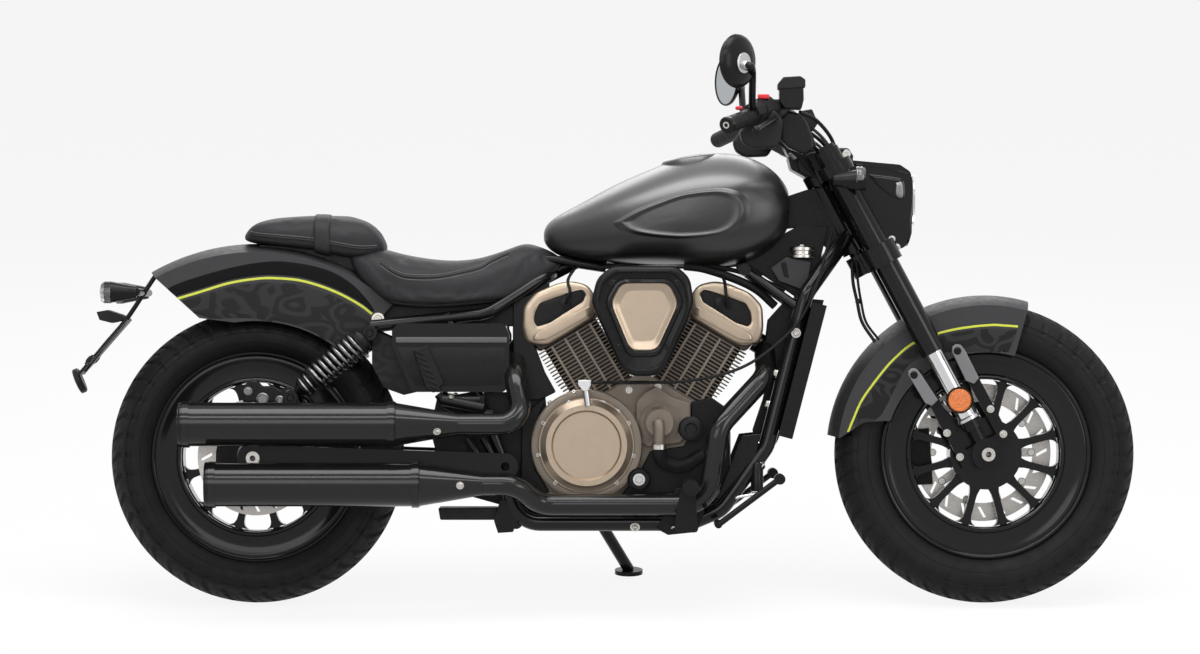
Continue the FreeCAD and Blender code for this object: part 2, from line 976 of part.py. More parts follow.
def triple_clamps():
    stem_start = on_fork(s.lower_clamp_along, ahead=-s.fork_offset)
    stem = cylinder(
        "steering_stem",
        stem_start,
        fork_up,
        s.stem_radius,
        upper_clamp_along - s.lower_clamp_along + s.upper_clamp_height,
    )
    return node(
        "triple_clamps",
        joined(
            "triple_clamps",
            clamp("lower_clamp", s.lower_clamp_along, s.lower_clamp_height),
            clamp("upper_clamp", upper_clamp_along, s.upper_clamp_height),
            stem,
        ),
    )


fork_uppers()
fork_lowers()
triple_clamps()


def caliper(label, axle, angle, disc_side, disc_radius, outward):
    """A caliper over the rim of a disc, its groove open to the ring."""
    turn = Rotation(ALONG_Y, float(angle))
    reach = turn.multVec(Vector(0, 0, 1))
    centre = axle + reach * float(disc_radius - s.caliper_height * 0.2)
    centre = centre + ALONG_Y * float(disc_side + outward * s.caliper_depth * 0.18)
    solid = block(
        label + "_solid", centre, s.caliper_length, s.caliper_depth, s.caliper_height, turn
    )
    groove = cross_pin(
        label + "_groove",
        axle + ALONG_Y * float(disc_side),
        disc_radius + s.caliper_groove,
        s.caliper_groove * 2,
    )
    return node(label, without(label, solid, groove))


def fender_section(axle, outer, inner_width, skirt, thickness, crown_share):
    """A thin channel section above an axle: crowned top and flat skirts."""
    outer, inner_width, skirt, thickness = (
        float(size) for size in (outer, inner_width, skirt, thickness)
    )
    half = inner_width / 2
    drop = half * crown_share

    def spot(side, reach):
        return axle + Vector(0, side, reach)

    side_in = half
    side_out = half + thickness
    edges = [
        Part.LineSegment(spot(-side_out, skirt), spot(-side_out, outer - drop)).toShape(),
        Part.Arc(spot(-side_out, outer - drop), spot(0, outer), spot(side_out, outer - drop)).toShape(),
        Part.LineSegment(spot(side_out, outer - drop), spot(side_out, skirt)).toShape(),
        Part.LineSegment(spot(side_out, skirt), spot(side_in, skirt)).toShape(),
        Part.LineSegment(spot(side_in, skirt), spot(side_in, outer - drop - thickness * 0.3)).toShape(),
        Part.Arc(
            spot(side_in, outer - drop - thickness * 0.3),
            spot(0, outer - thickness),
            spot(-side_in, outer - drop - thickness * 0.3),
        ).toShape(),
        Part.LineSegment(spot(-side_in, outer - drop - thickness * 0.3), spot(-side_in, skirt)).toShape(),
        Part.LineSegment(spot(-side_in, skirt), spot(-side_out, skirt)).toShape(),
    ]
    return Part.Wire(edges)


def front_fender():
    """A skirted fender close round the tyre, held by two plates on each side."""
    outer = s.front_radius + s.front_fender_gap + s.fender_thickness
    wire = fender_section(
        front_axle, outer, s.front_fender_inner_width, s.front_fender_skirt, s.fender_thickness, 0.28
    )
    shell = turned(
        "front_fender_shell",
        wire,
        front_axle,
        ALONG_Y,
        -(s.front_fender_ahead + s.front_fender_behind),
    )
    shell.Placement = Placement(
        Vector(), Rotation(ALONG_Y, float(s.front_fender_ahead)), front_axle
    )
    trim = side_outline(
        "front_fender_trim",
        front_axle.x - float(outer * 1.1),
        front_axle.z,
        outer * 1.1,
        outer,
        [(0.0, -0.3), (0.82, -0.3), (0.62, 0.22), (0.3, 0.2), (0.16, 0.1), (0.0, 0.14)],
    )
    cut = slab("front_fender_cut", trim, s.front_fender_inner_width * 1.5)
    return node("front_fender", without("front_fender", shell, cut))


caliper("front_caliper", front_axle, -94, front_disc_side, s.front_disc_radius, 1)
caliper("rear_caliper", rear_axle, 8, rear_disc_side, s.rear_disc_radius, -1)
front_fender()


def headlight():
    """An angular lamp shell with its round lens, on a cross bar between the fork legs."""
    outline_shares = [
        (0.06, 1.0),
        (0.81, 0.95),
        (0.97, 0.87),
        (1.0, 0.72),
        (0.99, 0.5),
        (0.9, 0.03),
        (0.75, 0.0),
        (0.5, 0.22),
        (0.25, 0.45),
        (0.0, 0.72),
        (0.0, 0.94),
    ]
    corner = on_fork(upper_clamp_along - s.headlight_drop)
    low = corner.z - float(s.headlight_height * 0.67)
    outline = side_outline(
        "headlight_outline",
        corner.x,
        low,
        s.headlight_length,
        s.headlight_height,
        outline_shares,
        s.headlight_corner,
    )
    shell = slab("headlight_body", outline, s.headlight_width)
    mount = cross_pin(
        "headlight_mount",
        on_fork(upper_clamp_along - s.headlight_drop * 2, s.headlight_mount_radius * 2),
        s.headlight_mount_radius,
        s.fork_spacing - (s.fork_cover_radius + s.seat_gap) * 2,
    )
    ears = [
        block(
            "headlight_ear_" + tag,
            on_fork(
                upper_clamp_along - s.headlight_drop * 2,
                s.headlight_mount_radius,
                sign * (s.headlight_width / 2 + s.strut_thickness / 2),
            ),
            s.headlight_mount_radius * 3,
            s.strut_thickness,
            s.headlight_mount_radius * 2,
            Rotation(ALONG_Y, -float(s.rake)),
        )
        for tag, sign in (("right", -1), ("left", 1))
    ]
    node("headlight_shell", joined("headlight_shell", shell, mount, *ears))
    lens_x = corner.x + s.headlight_length + s.seat_gap
    centre = at(lens_x, 0, low + s.headlight_height * 0.56)
    node("headlight_lens", cylinder("headlight_lens", centre, ALONG_X, s.lens_radius, s.lens_depth))


headlight()


def signal(name, x, y, z, direction):
    """A bullet turn lamp: a tapered body with its lens end."""
    body = primitive(
        "Cone",
        name + "_body",
        at(x, y, z),
        ALONG_X * direction,
        Radius1=s.signal_radius * 0.55,
        Radius2=s.signal_radius,
        Height=s.signal_length * 0.7,
    )
    lens = cylinder(
        name + "_lens",
        at(x + direction * s.signal_length * 0.7, y, z),
        ALONG_X * direction,
        s.signal_radius,
        s.signal_length * 0.2,
    )
    return body, lens


def front_signals():
    """Bullet turn lamps on short stalks from the fork tubes."""
    foot = on_fork(upper_clamp_along - s.front_signal_drop, s.signal_stalk_radius)
    side = s.fork_spacing / 2 + s.fork_cover_radius + s.seat_gap
    inner = foot - ALONG_Y * float(side - s.signal_stalk_radius / 2)
    outer = foot - ALONG_Y * float(s.front_signal_side)
    stalk_solid = rod("front_signal_stalk_rod", inner, outer, s.signal_stalk_radius)
    tube = cylinder(
        "front_signal_tube_room",
        on_fork(s.lower_clamp_along, side=-s.fork_spacing / 2),
        fork_up,
        s.fork_cover_radius + s.seat_gap,
        s.clamp_spacing,
    )
    stalk = without("front_signal_stalk", stalk_solid, tube)
    x = foot.x - float(s.signal_length * 0.4)
    lamps = signal("front_signal", x, -s.front_signal_side, foot.z, 1)
    return node("front_signals", both_sides("front_signals", joined("front_signal", *lamps, stalk)))


front_signals()


bar_end = bar_clamp + at(-s.bar_end_back, -s.bar_half_width, s.bar_end_rise)
bar_bend = bar_end + at(s.bar_sweep, s.bar_half_width * 0.56, s.bar_rise)
bar_inward = (bar_bend - bar_end).normalize()


def handlebar():
    """A wide bar swept back, on two risers."""
    points = [
        bar_clamp,
        bar_clamp - ALONG_Y * float(s.bar_centre_half),
        bar_clamp + at(-s.bar_radius, -s.bar_half_width * 0.28, s.bar_rise * 0.7),
        bar_bend,
        bar_end,
    ]
    half = bent_rod("handlebar_half", points, s.bar_radius, s.bar_centre_half)
    other = mirrored("handlebar_other", half)
    foot_along = upper_clamp_along + s.upper_clamp_height / 2 + s.seat_gap
    risers = []
    for tag, sign in (("right", -1), ("left", 1)):
        foot = on_fork(foot_along, s.bar_clamp_ahead, sign * s.riser_side)
        risers.append(
            cylinder("riser_" + tag, foot, fork_up, s.riser_radius, bar_clamp_along - foot_along)
        )
        head = bar_clamp + ALONG_Y * float(sign * s.riser_side)
        risers.append(cross_pin("riser_cap_" + tag, head, s.riser_radius * 1.2, s.riser_radius * 1.6))
    return node("handlebar", joined("handlebar", half, other, *risers))


def on_grip(along):
    """A place on the right grip's centre line, from the bar's end inward."""
    return bar_end + bar_inward * float(along)


def grips():
    """Rubber grips with the round switch housings beside them, over the bar ends."""
    cap = s.grip_radius * 0.6
    grip = cylinder("grip", on_grip(-cap), bar_inward, s.grip_radius, s.grip_length + cap)
    housing = cylinder(
        "switch_housing", on_grip(s.grip_length), bar_inward, s.switch_radius, s.switch_length
    )
    hole = cylinder(
        "grip_hole", on_grip(-s.seat_gap), bar_inward, s.bar_radius + s.seat_gap, s.grip_length * 2
    )
    unit = without("grip_unit", joined("grip_solid", grip, housing), hole)
    return node("grips", both_sides("grips", unit))


perch_start = s.grip_length + s.switch_length + s.seat_gap
perch_middle = on_grip(perch_start + s.switch_length * 0.3)


def levers():
    """Brake and clutch levers reaching ahead of the grips from their perches."""
    perch = cylinder(
        "lever_perch", on_grip(perch_start), bar_inward, s.switch_radius * 0.9, s.switch_length * 0.6
    )
    hole = cylinder(
        "perch_hole",
        on_grip(perch_start - s.switch_length),
        bar_inward,
        s.bar_radius + s.seat_gap,
        s.switch_length * 3,
    )
    ahead = (bar_inward.cross(ALONG_Z) - ALONG_Z * 0.3).normalize() * float(s.lever_reach)
    pivot = perch_middle + ahead * 0.55
    arm = rod("lever_arm", perch_middle + ahead * 0.25, pivot, s.lever_radius * 1.5)
    tip = pivot - bar_inward * float(s.lever_length) + ahead * 0.3
    blade = rod("lever_blade", pivot, tip, s.lever_radius)
    knob = primitive("Sphere", "lever_knob", tip, Radius=s.lever_radius * 1.3)
    unit = without("lever_unit", joined("lever_solid", perch, arm, blade, knob), hole)
    return node("levers", both_sides("levers", unit))


handlebar()
grips()
levers()


def reservoir():
    """The brake fluid reservoir on a post from the right lever perch."""
    perch_radius = s.switch_radius * 0.9 + s.seat_gap
    foot = perch_middle + ALONG_Z * float(perch_radius)
    post_rod = rod(
        "reservoir_post_rod", perch_middle, foot + ALONG_Z * float(s.reservoir_height / 2), s.lever_radius
    )
    perch_room = cylinder(
        "reservoir_perch_room", on_grip(0), bar_inward, perch_radius, s.grip_length * 3
    )
    post = without("reservoir_post", post_rod, perch_room)
    centre = foot + at(s.reservoir_width / 4, s.reservoir_depth / 4, s.reservoir_height * 0.9)
    pot = block("reservoir_pot", centre, s.reservoir_width, s.reservoir_depth, s.reservoir_height)
    return node("brake_reservoir", joined("brake_reservoir", post, pot))


def mirrors():
    """Round mirrors on stems that rise from the bar beside the switches."""
    head = Vector(bar_end.x + float(s.mirror_ahead), -float(s.mirror_side), bar_end.z + float(s.mirror_rise))
    facing = Vector(1, -0.25, 0.05).normalize()
    plate = cylinder(
        "mirror_plate", head - facing * float(s.mirror_thickness / 2), facing, s.mirror_radius, s.mirror_thickness
    )
    collar = s.grip_length + s.switch_length / 2
    foot = on_grip(collar) + ALONG_Z * float(s.switch_radius + s.seat_gap)
    knee = foot + at(s.bar_radius, -s.bar_rise * 0.8, s.bar_rise * 0.8)
    neck = head - ALONG_Z * float(s.mirror_radius * 0.6)
    stem_rod = bent_rod(
        "mirror_stem_rod",
        [neck, knee, foot - ALONG_Z * float(s.switch_radius)],
        s.mirror_stem_radius,
        s.bar_rise / 2,
    )
    housing_room = cylinder(
        "mirror_housing_room",
        on_grip(0),
        bar_inward,
        s.switch_radius + s.seat_gap,
        s.grip_length * 3,
    )
    stem = without("mirror_stem", stem_rod, housing_room)
    return node("mirrors", both_sides("mirrors", joined("mirror", plate, stem)))


reservoir()
mirrors()

# frame


def on_axis_below_head(share):
    """A place on the steering axis, as a share of the way from the lower to the upper clamp."""
    low = s.lower_clamp_along + s.lower_clamp_height / 2 + s.head_tube_gap
    high = upper_clamp_along - s.upper_clamp_height / 2 - s.head_tube_gap
    return on_fork(low + (high - low) * share, ahead=-s.fork_offset)


def backbone_points():
    """The backbone tube's route: from the steering head back through the tank's tunnel."""
    return [
        on_axis_below_head(0.7),
        at(tank_rear_x + s.tank_length * 0.5, 0, s.tank_bottom_z + s.frame_tube_radius * 1.6),
        at(tank_rear_x + s.tank_length * 0.15, 0, s.tank_bottom_z + s.frame_tube_radius * 0.7),
        at(tank_rear_x, 0, s.tank_bottom_z - s.frame_tube_radius * 1.6),
    ]


rail_side = s.rear_fender_width / 2 + s.rail_tube_radius * 1.4
rail_z = s.rider_seat_z - s.rail_tube_radius * 2.6


def rail_points():
    """The seat rails' route: one tube across the backbone's end, from shock mount to shock mount."""
    before, end = backbone_points()[-2:]
    meeting = end + (before - end).normalize() * float(s.rail_tube_radius * 1.5)
    right = [
        at(s.shock_top_x, -rail_side, s.shock_top_z + s.shock_eye_radius),
        at(s.side_cover_x + s.side_cover_length * 0.8, -rail_side, rail_z),
        Vector(meeting.x, -float(rail_side * 0.45), meeting.z),
    ]
    return right + [Vector(place.x, -place.y, place.z) for place in reversed(right)]


def tank_braces():
    """Tubes from a hanger under the backbone forward to the down tubes, below their shoulders."""
    head_end, bend = backbone_points()[:2]
    hung = bend + (head_end - bend) * 0.47
    shoulder = at(s.down_shoulder_x, -s.down_shoulder_side, s.down_shoulder_z)
    knee = at(s.down_knee_x, -s.down_tube_side, s.down_knee_z)
    low = Vector(hung.x, 0, float(s.brace_z))
    hanger = rod("brace_hanger", hung, low, s.brace_radius)
    bar = cross_pin("brace_bar", low, s.rail_tube_radius, s.down_shoulder_side * 1.7)
    start = low - ALONG_Y * float(s.down_shoulder_side * 0.7)
    brace = rod("brace", start, shoulder + (knee - shoulder) * 0.1, s.brace_radius)
    return [hanger, bar, brace, mirrored("brace_left", brace)]


def rear_leg_x(share):
    """Where the frame's rear leg stands, as a share of its height above the swingarm pivot."""
    top = s.side_cover_x + s.side_cover_length * 0.46
    return s.swing_pivot_x + (top - s.swing_pivot_x) * share


def main_frame():
    """Tubular frame: steering head, two down tubes, cradle, backbone, rear legs and seat rails."""
    low = on_axis_below_head(0)
    high = on_axis_below_head(1)
    head = rod("head_tube", low, high, s.head_tube_radius)
    bore = rod(
        "head_bore",
        low - fork_up * float(s.head_tube_gap),
        high + fork_up * float(s.head_tube_gap),
        s.stem_radius + s.running_fit,
    )
    neck = on_axis_below_head(0.25)
    inner = s.head_tube_radius * 0.6
    side = s.down_tube_side
    cradle = s.cradle_side
    down = bent_rod(
        "down_tube",
        [
            Vector(neck.x, -float(inner), neck.z),
            at(s.down_shoulder_x, -s.down_shoulder_side, s.down_shoulder_z),
            at(s.down_knee_x, -side, s.down_knee_z),
            at(s.peg_x + s.peg_length * 0.6, -cradle, s.cradle_z + s.frame_tube_radius * 1.6),
            at(s.peg_x, -cradle, s.cradle_z),
            at(s.swing_pivot_x + s.swing_pivot_radius, -cradle, s.cradle_z),
            at(s.swing_pivot_x, -cradle, s.swing_pivot_z),
        ],
        s.frame_tube_radius,
        s.pipe_bend,
    )
    leg = rod(
        "rear_leg",
        at(s.swing_pivot_x, -rail_side, s.swing_pivot_z),
        at(rear_leg_x(1), -rail_side, rail_z),
        s.rear_leg_radius,
    )
    backbone = bent_rod("backbone", backbone_points(), s.frame_tube_radius, s.pipe_bend * 2)
    rails = bent_rod("seat_rails", rail_points(), s.rail_tube_radius, s.pipe_bend)
    shock_pin = rod(
        "shock_top_pin",
        at(s.shock_top_x, -s.rear_fender_width / 2 - s.rail_tube_radius * 0.6, s.shock_top_z),
        at(s.shock_top_x, -s.shock_side - s.shock_eye_width * 0.6, s.shock_top_z),
        s.shock_pin_radius,
    )
    right = [down, leg, shock_pin]
    left = [mirrored(item.Name + "_left", item) for item in right]
    cross = []
    for tag, share in (("front", 1.0), ("rear", 0.0)):
        x = s.swing_pivot_x + s.swing_pivot_radius + (s.peg_x - s.swing_pivot_x) * share * 0.8
        cross.append(cross_pin("cradle_cross_" + tag, at(x, 0, s.cradle_z), s.rail_tube_radius, cradle * 2))
    pivot = cross_pin(
        "pivot_boss",
        at(s.swing_pivot_x, 0, s.swing_pivot_z),
        s.swing_pivot_radius,
        cradle * 2 + s.frame_tube_radius * 1.5,
    )
    pivot_bore = cross_pin(
        "pivot_bore",
        at(s.swing_pivot_x, 0, s.swing_pivot_z),
        s.swing_pin_radius + s.running_fit,
        s.cradle_side * 4,
    )
    stand_lug = rod(
        "stand_lug",
        at(s.stand_pivot_x, cradle, s.cradle_z),
        stand_pivot - stand_axis * float(s.stand_eye_width * 0.8),
        s.stand_eye_radius * 0.7,
    )
    stand_pin = cylinder(
        "stand_pin",
        stand_pivot - stand_axis * float(s.stand_eye_width),
        stand_axis,
        s.stand_pin_radius,
        s.stand_eye_width * 1.6,
    )
    stand_plate = cylinder(
        "stand_plate",
        stand_pivot - stand_axis * float(s.stand_eye_width),
        stand_axis,
        s.stand_eye_radius,
        s.stand_eye_width / 2 - s.seat_gap,
    )
    solid = joined(
        "frame_solid",
        head,
        *right,
        *left,
        backbone,
        rails,
        *tank_braces(),
        *cross,
        pivot,
        stand_lug,
        stand_pin,
        stand_plate,
    )
    return node("main_frame", without("main_frame", solid, bore, pivot_bore))


main_frame()


engine_centre = at(s.crank_x, 0, s.crank_z)


def on_cylinder(sign, along, side=0):
    """A place along a cylinder's centre line, from the crank; the front cylinder has sign 1."""
    angle = math.radians(float(s.v_half_angle))
    up = Vector(sign * math.sin(angle), 0, math.cos(angle))
    return engine_centre + up * float(along) + ALONG_Y * float(side)


def engine_case():
    """The crankcase: a flat sump, rounded ends and two decks that carry the cylinders."""
    deck_half = s.fin_length / 2
    decks = []
    for sign in (1, -1):
        turn = Rotation(ALONG_Y, sign * float(s.v_half_angle))
        middle = on_cylinder(sign, s.cylinder_start)
        decks.append(middle + turn.multVec(ALONG_X) * (sign * float(deck_half)))
    front_deck, rear_deck = decks
    peak = engine_centre + ALONG_Z * float(s.cylinder_start / cos(s.v_half_angle))
    low = float(s.case_bottom + s.frame_tube_radius)
    rear = float(s.swing_pivot_x + s.swing_pivot_radius + s.frame_tube_radius)
    front = float(s.crank_x) * 2 - rear * 0.6
    mid = float(s.crank_z)
    corners = [
        Vector(rear, 0, mid - (mid - low) * 0.6),
        Vector(rear + (mid - low) * 0.3, 0, low),
        Vector(front - (mid - low) * 0.5, 0, low),
        Vector(front, 0, mid - (mid - low) * 0.3),
        Vector(front, 0, mid + (front_deck.z - mid) * 0.6),
        front_deck,
        peak,
        rear_deck,
        Vector(rear, 0, rear_deck.z - (rear_deck.z - mid) * 0.2),
    ]
    rounding = [s.pump_radius / 2] * 5 + [0, 0, 0] + [s.pump_radius / 2]
    outline = doc.addObject("Part::Feature", "case_outline")
    outline.Shape = rounded_wire(corners, rounding)
    return node("engine_case", slab("engine_case", outline, s.case_half_width * 2))


engine_case()


head_middle = (
    s.cylinder_start + s.cylinder_neck + s.fin_pitch * s.fin_count + s.head_height / 2
)


def cylinder_unit(label, sign):
    """A finned barrel with its head on top."""
    turn = Rotation(ALONG_Y, sign * float(s.v_half_angle))
    fins_start = s.cylinder_start + s.cylinder_neck
    fins_end = fins_start + s.fin_pitch * s.fin_count
    up = on_cylinder(sign, 1) - on_cylinder(sign, 0)
    barrel = cylinder(
        label + "_barrel",
        on_cylinder(sign, s.cylinder_start),
        up,
        s.cylinder_radius,
        fins_end - s.cylinder_start + s.fin_pitch,
    )
    parts = [barrel]
    for i in range(SIZES["fin_count"]):
        centre = on_cylinder(sign, fins_start + s.fin_pitch * (i + 0.5))
        fin = block(label + f"_fin_{i}", centre, s.fin_length, s.fin_width, s.fin_thickness, turn)
        parts.append(fin)
    head_centre = on_cylinder(sign, fins_end + s.head_height / 2)
    parts.append(
        block(label + "_head", head_centre, s.head_length, s.head_width, s.head_height, turn)
    )
    return node(label, joined(label, *parts))


def head_cover(label, sign):
    """The cast cover on the right face of a cylinder head, open in the middle."""
    edge = [
        (-0.46, -0.31), (-0.5, 0.02), (-0.42, 0.26), (-0.24, 0.44), (0.25, 0.5),
        (0.4, 0.34), (0.49, -0.03), (0.45, -0.2), (0.31, -0.48), (-0.17, -0.5),
    ]
    opening = [
        (-0.36, -0.1), (-0.31, 0.2), (-0.18, 0.31), (0.23, 0.27), (0.32, 0.17), (0.36, -0.05), (-0.03, -0.11),
    ]
    side = -(s.head_width + s.cover_thickness) / 2 - s.seat_gap
    middle = on_cylinder(sign, head_middle, side)
    turn = Rotation(ALONG_Y, sign * float(s.v_half_angle))
    plates = []
    for tag, shares, depth, corner in (
        ("edge", edge, s.cover_thickness, s.cover_corner),
        ("opening", opening, s.cover_thickness * 2, s.cover_corner * 0.6),
    ):
        points = [
            at(-sign * s.cover_length * across, 0, s.cover_height * up) for across, up in shares
        ]
        outline = doc.addObject("Part::Feature", f"{label}_{tag}_outline")
        outline.Shape = rounded_wire(points, [corner] * len(points))
        plate = slab(f"{label}_{tag}", outline, depth)
        plate.Placement = Placement(middle, turn)
        plates.append(plate)
    cover, window = plates
    return node(label, without(label, cover, window))


cylinder_unit("rear_cylinder", -1)
cylinder_unit("front_cylinder", 1)
head_cover("rear_head_cover", -1)
head_cover("front_head_cover", 1)



def turned_cover(label, x, z, side, profile):
    """A round cover turned about an axis across the machine, from reach and depth pairs."""
    body = doc.addObject("PartDesign::Body", label)
    points = [(radius, depth * side) for radius, depth in profile]
    revolve(body, label + "_turned", points)
    face = side * float(s.case_half_width + s.seat_gap)
    body.Placement = Placement(at(x, face, z), Rotation())
    return node(label, body)


def engine_covers():
    ring = s.clutch_ring_depth
    full = s.clutch_depth
    lip = s.rim_lip
    turned_cover(
        "clutch_cover",
        s.clutch_x,
        s.clutch_z,
        -1,
        [
            (0, 0),
            (s.clutch_ring_radius, 0),
            (s.clutch_ring_radius, ring - lip / 2),
            (s.clutch_ring_radius - lip / 2, ring),
            (s.clutch_radius, ring),
            (s.clutch_radius, full - lip),
            (s.clutch_radius - lip, full),
            (s.clutch_radius * 0.76, full),
            (s.clutch_radius * 0.72, full - lip / 2),
            (0, full - lip / 2),
        ],
    )
    turned_cover(
        "pump_cover",
        s.pump_x,
        s.pump_z,
        -1,
        [
            (0, 0),
            (s.pump_radius, 0),
            (s.pump_radius, s.pump_depth * 0.5),
            (s.pump_radius - lip / 2, s.pump_depth * 0.5),
            (s.pump_radius - lip / 2, s.pump_depth - lip / 2),
            (s.pump_radius - lip, s.pump_depth),
            (0, s.pump_depth),
        ],
    )
    turned_cover(
        "left_case_cover",
        s.crank_x,
        s.crank_z,
        1,
        [
            (0, 0),
            (s.left_cover_radius, 0),
            (s.left_cover_radius, s.left_cover_depth * 0.6),
            (s.left_cover_radius - lip, s.left_cover_depth),
            (0, s.left_cover_depth),
        ],
    )


engine_covers()


def air_cleaner():
    """A six-sided intake cover in the V, with a raised inset on its face."""
    corners = [(0.14, 0.0), (0.86, 0.0), (1.0, 0.68), (0.86, 1.0), (0.14, 1.0), (0.0, 0.68)]
    left = s.air_x - s.air_width / 2
    low = s.air_z - s.air_height / 2
    outline = side_outline(
        "air_outline", left, low, s.air_width, s.air_height, corners, s.head_corner / 2
    )
    box = slab("air_box", outline, s.air_depth, s.air_face_y + s.air_depth / 2)
    throat_end = at(s.air_x, -s.fin_width * 0.1, s.air_z)
    throat_start = at(s.air_x, s.air_face_y + s.air_depth * 0.9, s.air_z)
    throat = rod("air_throat", throat_start, throat_end, s.pump_radius * 0.8)
    node("air_cleaner", joined("air_cleaner", box, throat))
    share = s.air_inset_share
    inset_outline = side_outline(
        "air_inset_outline",
        s.air_x - s.air_width * share / 2,
        s.air_z - s.air_height * share / 2 + s.air_inset_height,
        s.air_width * share,
        s.air_height * share,
        corners,
        s.head_corner / 2,
    )
    side = s.air_face_y - s.air_inset_height / 2 - s.seat_gap
    node("air_cleaner_inset", slab("air_cleaner_inset", inset_outline, s.air_inset_height, side))


air_cleaner()

# tank, seats and body


def fuel_tank():
    """A teardrop tank: a loft through crowned sections, widest a little ahead of its middle."""
    # along, half width, underside, top, each as a share of the length, the width and the height
    section_shares = [
        (0.0, 0.1, 0.22, 0.28),
        (0.03, 0.3, 0.13, 0.39),
        (0.12, 0.52, 0.05, 0.51),
        (0.27, 0.78, 0.01, 0.69),
        (0.42, 0.94, 0.0, 0.84),
        (0.56, 1.0, 0.0, 0.95),
        (0.7, 1.0, 0.0, 1.0),
        (0.84, 0.92, 0.05, 0.96),
        (0.94, 0.78, 0.17, 0.84),
        (1.0, 0.56, 0.34, 0.66),
    ]
    sections = [
        hoop(
            tank_rear_x + s.tank_length * along,
            s.tank_width / 2 * wide,
            s.tank_bottom_z + s.tank_height * low,
            s.tank_bottom_z + s.tank_height * high,
            0.5,
            0.42,
        )
        for along, wide, low, high in section_shares
    ]
    body = loft("tank_body", sections)
    clear = s.frame_tube_radius + s.joint_gap
    roof = [point + ALONG_Z * float(clear) for point in backbone_points()]
    drop = ALONG_Z * -float(s.tank_height)
    outline = doc.addObject("Part::Feature", "tunnel_outline")
    corners = roof + [roof[-1] + drop, roof[0] + drop * 1.6]
    outline.Shape = rounded_wire(corners, [0] * len(corners))
    node("fuel_tank", without("fuel_tank", body, slab("tank_tunnel", outline, clear * 2)))
    cap_x = tank_rear_x + s.tank_length * 0.64
    cap_z = s.tank_bottom_z + s.tank_height + s.seat_gap
    node("fuel_cap", cylinder("fuel_cap", at(cap_x, 0, cap_z), ALONG_Z, s.cap_radius, s.cap_height))


def cushion(label, x, z, length, width, height, section_shares):
    """A closed pad: a loft through crowned sections."""
    sections = [
        hoop(
            x + length * along,
            width / 2 * wide,
            z + height * low,
            z + height * high,
            0.62,
            0.45,
        )
        for along, wide, low, high in section_shares
    ]
    return loft(label, sections)


def seats():
    seat_x = tank_rear_x - s.seat_front_gap - s.rider_seat_length
    pad_solid = cushion(
        "rider_pad",
        seat_x,
        s.rider_seat_z,
        s.rider_seat_length,
        s.rider_seat_width,
        s.rider_seat_height,
        [
            (0.0, 0.72, 0.12, 1.14),
            (0.08, 0.9, 0.02, 1.08),
            (0.25, 1.0, 0.03, 0.96),
            (0.45, 0.96, 0.06, 0.92),
            (0.65, 0.78, 0.2, 0.96),
            (0.82, 0.56, 0.52, 1.06),
            (1.0, 0.34, 0.76, 1.04),
        ],
    )
    wheel_room = cross_pin(
        "rider_seat_room",
        rear_axle,
        s.rear_fender_radius + s.seat_gap,
        s.rider_seat_width * 2,
    )
    node("rider_seat", without("rider_seat", pad_solid, wheel_room))
    pillion = cushion(
        "pillion_pad",
        rear_axle.x - float(s.pillion_behind),
        rear_axle.z + float(s.rear_fender_radius - s.pillion_drop),
        s.pillion_length,
        s.pillion_width,
        s.pillion_height,
        [
            (0.0, 0.62, 0.5, 0.68),
            (0.06, 0.86, 0.42, 0.88),
            (0.25, 1.0, 0.36, 0.97),
            (0.5, 1.0, 0.3, 1.0),
            (0.72, 0.98, 0.47, 0.98),
            (0.9, 0.9, 0.52, 0.88),
            (1.0, 0.7, 0.54, 0.68),
        ],
    )
    fender_room = cross_pin(
        "pillion_room", rear_axle, s.rear_fender_radius + s.seat_gap, s.pillion_width * 2
    )
    pillion = without("pillion_seat", pillion, fender_room)
    node("pillion_seat", pillion)


def rear_fender():
    """A wide channel over the rear wheel, its skirts cut back low at the rear."""
    wire = fender_section(
        rear_axle,
        s.rear_fender_radius,
        s.rear_fender_width - s.fender_thickness * 2,
        s.rear_fender_skirt,
        s.fender_thickness,
        0.2,
    )
    shell = turned(
        "rear_fender_shell",
        wire,
        rear_axle,
        ALONG_Y,
        s.rear_fender_behind + s.rear_fender_ahead,
    )
    shell.Placement = Placement(
        Vector(), Rotation(ALONG_Y, -float(s.rear_fender_behind)), rear_axle
    )
    trim = side_outline(
        "rear_fender_trim",
        rear_axle.x - float(s.rear_fender_radius),
        rear_axle.z,
        s.rear_fender_radius,
        s.rear_fender_radius,
        [(0.0, 0.0), (1.0, 0.0), (0.98, 0.62), (0.74, 0.65), (0.4, 0.96), (0.0, 1.1)],
    )
    cut = slab("rear_fender_cut", trim, s.rear_fender_width * 1.5)
    return node("rear_fender", without("rear_fender", shell, cut))


fuel_tank()
seats()
rear_fender()


def side_covers():
    """The panels between the seat and the swingarm pivot."""
    shares = [
        (0.05, 1.0), (0.96, 1.0), (1.0, 0.84), (1.0, 0.08), (0.95, 0.0), (0.17, 0.0), (0.0, 0.68), (0.0, 0.9),
    ]
    outline = side_outline(
        "side_cover_outline",
        s.side_cover_x,
        s.side_cover_z,
        s.side_cover_length,
        s.side_cover_height,
        shares,
        s.side_cover_thickness / 2,
    )
    for label, sign in (("side_cover_right", -1), ("side_cover_left", 1)):
        seat_side = rail_side + s.rail_tube_radius + s.seat_gap
        middle = sign * (seat_side + s.side_cover_thickness / 2)
        node(label, slab(label, outline, s.side_cover_thickness, middle))


side_covers()


